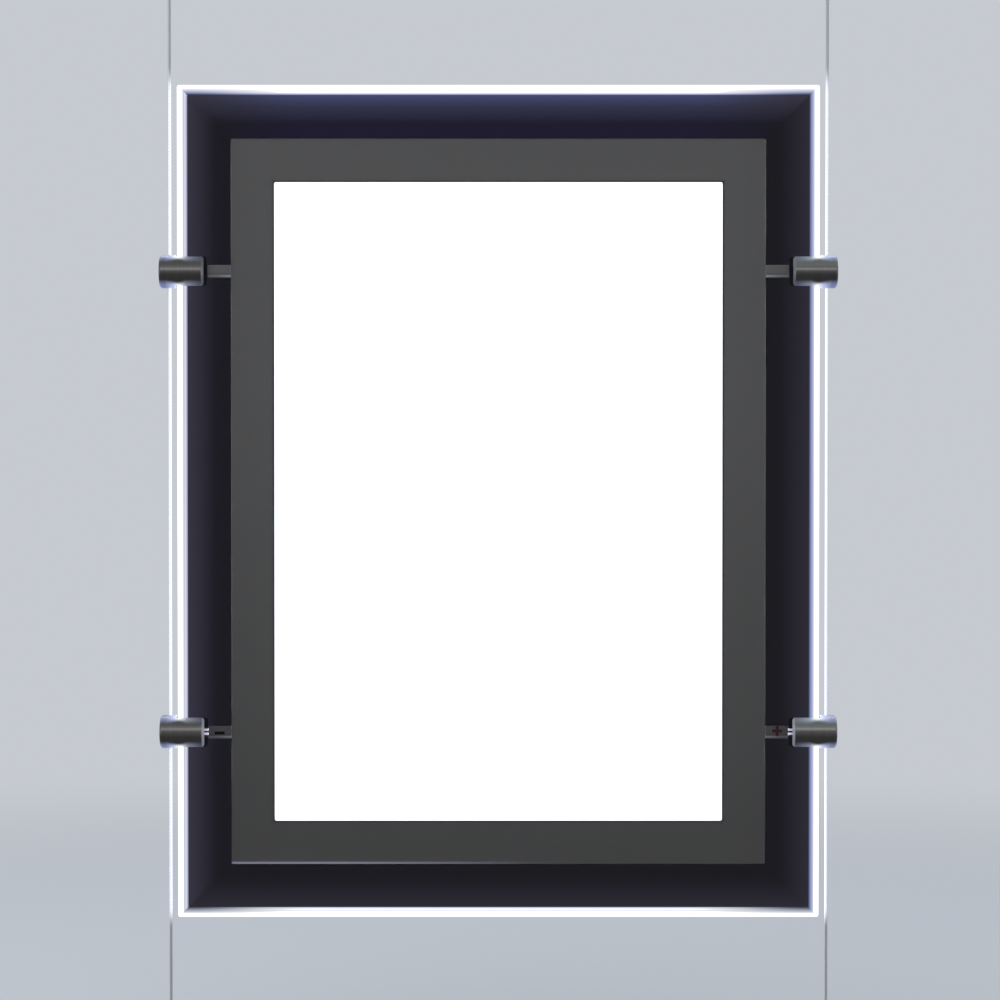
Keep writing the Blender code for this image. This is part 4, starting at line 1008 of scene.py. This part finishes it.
def clear_acrylic():
    # Clear cast acrylic: a flat polished skin with the faintest ripple, 25 mm wide. Its IOR is set under
    # acrylic's 1.49, to keep the reflections faint. Lamp light passes through it. Its bottom edge carries a
    # painted highlight, a faint light line on the left.
    made, tree = new_finish("clear_cast_acrylic")
    place = add(tree, "ShaderNodeTexCoord")
    haze = add(tree, "ShaderNodeTexNoise", {"Vector": place.outputs["Object"], "Scale": 40, "Detail": 3})
    rough = add(tree, "ShaderNodeMapRange", {"Value": haze, "To Min": 0.01, "To Max": 0.06})
    spot = add(tree, "ShaderNodeSeparateXYZ", {0: place.outputs["Object"]})
    to_left = add(
        tree, "ShaderNodeMapRange",
        {"Value": spot.outputs["X"], "From Min": LINE_ENDS_X, "From Max": LINE_FULL_X},
        interpolation_type="SMOOTHSTEP",
    )
    # Painted highlight: a faint glow along the bottom edge, fading out to the right.
    edge = add(
        tree, "ShaderNodeMapRange",
        {
            "Value": spot.outputs["Z"], "From Min": cover_low.z + EDGE_LINE_FROM,
            "From Max": cover_low.z + EDGE_LINE_FULL, "To Max": to_left,
        },
    )
    shader = add(
        tree, "ShaderNodeBsdfPrincipled",
        {
            "Base Color": colour("#fcfdff"), "Roughness": rough, "IOR": 1.36,
            "Transmission Weight": 1.0, "Emission Color": colour("#4d4d5c"), "Emission Strength": edge,
        },
    )
    clear = add(tree, "ShaderNodeBsdfTransparent", {"Color": colour("#fcfcfc")})
    ray = add(tree, "ShaderNodeLightPath")
    either = add(tree, "ShaderNodeMixShader", {0: ray.outputs["Is Shadow Ray"], 1: shader, 2: clear})
    add(tree, "ShaderNodeOutputMaterial", {"Surface": either})
    return made


dress(["border_film"], border_film(), is_round=False)
dress(["cover_plate"], clear_acrylic(), is_round=False)


# Studio: a pale floor that runs out into a pale room without a line, and five soft boxes: one in front on the
# left, a flat wide one above the camera, one overhead behind, and a tall strip on each side.
ROOM_COLOUR = "#c6cad0"
FLOOR_RADIUS = 14.0
FLOOR_FADES_FROM = 0.6
FLOOR_GONE_AT = 1.4
floor_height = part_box("floor_base_left")[0].z


def studio_floor():
    # Matt floor paint near the display, which fades into the room's own colour further out. Mirrored or seen
    # through glass, it has that colour all over.
    made, tree = new_finish("studio_floor")
    place = add(tree, "ShaderNodeTexCoord")
    away = add(tree, "ShaderNodeVectorMath", {0: place.outputs["Object"]}, operation="LENGTH")
    far = add(
        tree, "ShaderNodeMapRange",
        {"Value": away.outputs["Value"], "From Min": FLOOR_FADES_FROM, "From Max": FLOOR_GONE_AT},
        interpolation_type="SMOOTHSTEP",
    )
    ray = add(tree, "ShaderNodeLightPath")
    bent = add(
        tree, "ShaderNodeMath",
        {0: ray.outputs["Is Glossy Ray"], 1: ray.outputs["Is Transmission Ray"]}, operation="MAXIMUM",
    )
    plain = add(tree, "ShaderNodeMath", {0: far, 1: bent}, operation="MAXIMUM")
    paint = add(tree, "ShaderNodeBsdfDiffuse", {"Color": colour("#cdd1d6")})
    room = add(tree, "ShaderNodeEmission", {"Color": colour(ROOM_COLOUR), "Strength": 1.0})
    seen = add(tree, "ShaderNodeMixShader", {0: plain, 1: paint, 2: room})
    nothing = add(tree, "ShaderNodeBsdfTransparent")
    side_seen = add(tree, "ShaderNodeNewGeometry")
    either = add(tree, "ShaderNodeMixShader", {0: side_seen.outputs["Backfacing"], 1: seen, 2: nothing})
    add(tree, "ShaderNodeOutputMaterial", {"Surface": either})
    return made


shape = bmesh.new()
bmesh.ops.create_circle(shape, cap_ends=True, segments=96, radius=FLOOR_RADIUS)
mesh = bpy.data.meshes.new("studio_floor")
shape.to_mesh(mesh)
shape.free()
mesh.materials.append(studio_floor())
floor = bpy.data.objects.new("studio_floor", mesh)
floor.location = (0, 0, floor_height)
bpy.context.scene.collection.objects.link(floor)

room = bpy.data.worlds.new("room")
room.use_nodes = True
room.node_tree.nodes.clear()
air = add(room.node_tree, "ShaderNodeBackground", {"Color": colour(ROOM_COLOUR), "Strength": 1.0})
add(room.node_tree, "ShaderNodeOutputWorld", {"Surface": air})
bpy.context.scene.world = room

for name, place, width, height, power in (
    ("soft_box_left", (-1.1, -1.2, 0.55), 1.3, 0.9, 5.2),
    ("soft_box_front", (0.1, -1.7, 0.32), 1.4, 0.28, 3.6),
    ("soft_box_overhead", (0.0, 0.60, 0.62), 1.0, 0.5, 3.0),
    ("strip_box_left", (-1.4, -0.2, -0.26), 0.5, 1.0, 3.6),
    ("strip_box_right", (1.4, -0.2, -0.26), 0.5, 1.0, 3.6),
):
    lamp = bpy.data.lights.new(name, "AREA")
    lamp.shape = "RECTANGLE"
    lamp.size = width
    lamp.size_y = height
    lamp.energy = power
    box = bpy.data.objects.new(name, lamp)
    box.location = place
    box.rotation_euler = (panel_centre - Vector(place)).to_track_quat("-Z", "Y").to_euler()
    box.visible_camera = False
    box.visible_transmission = False
    bpy.context.scene.collection.objects.link(box)
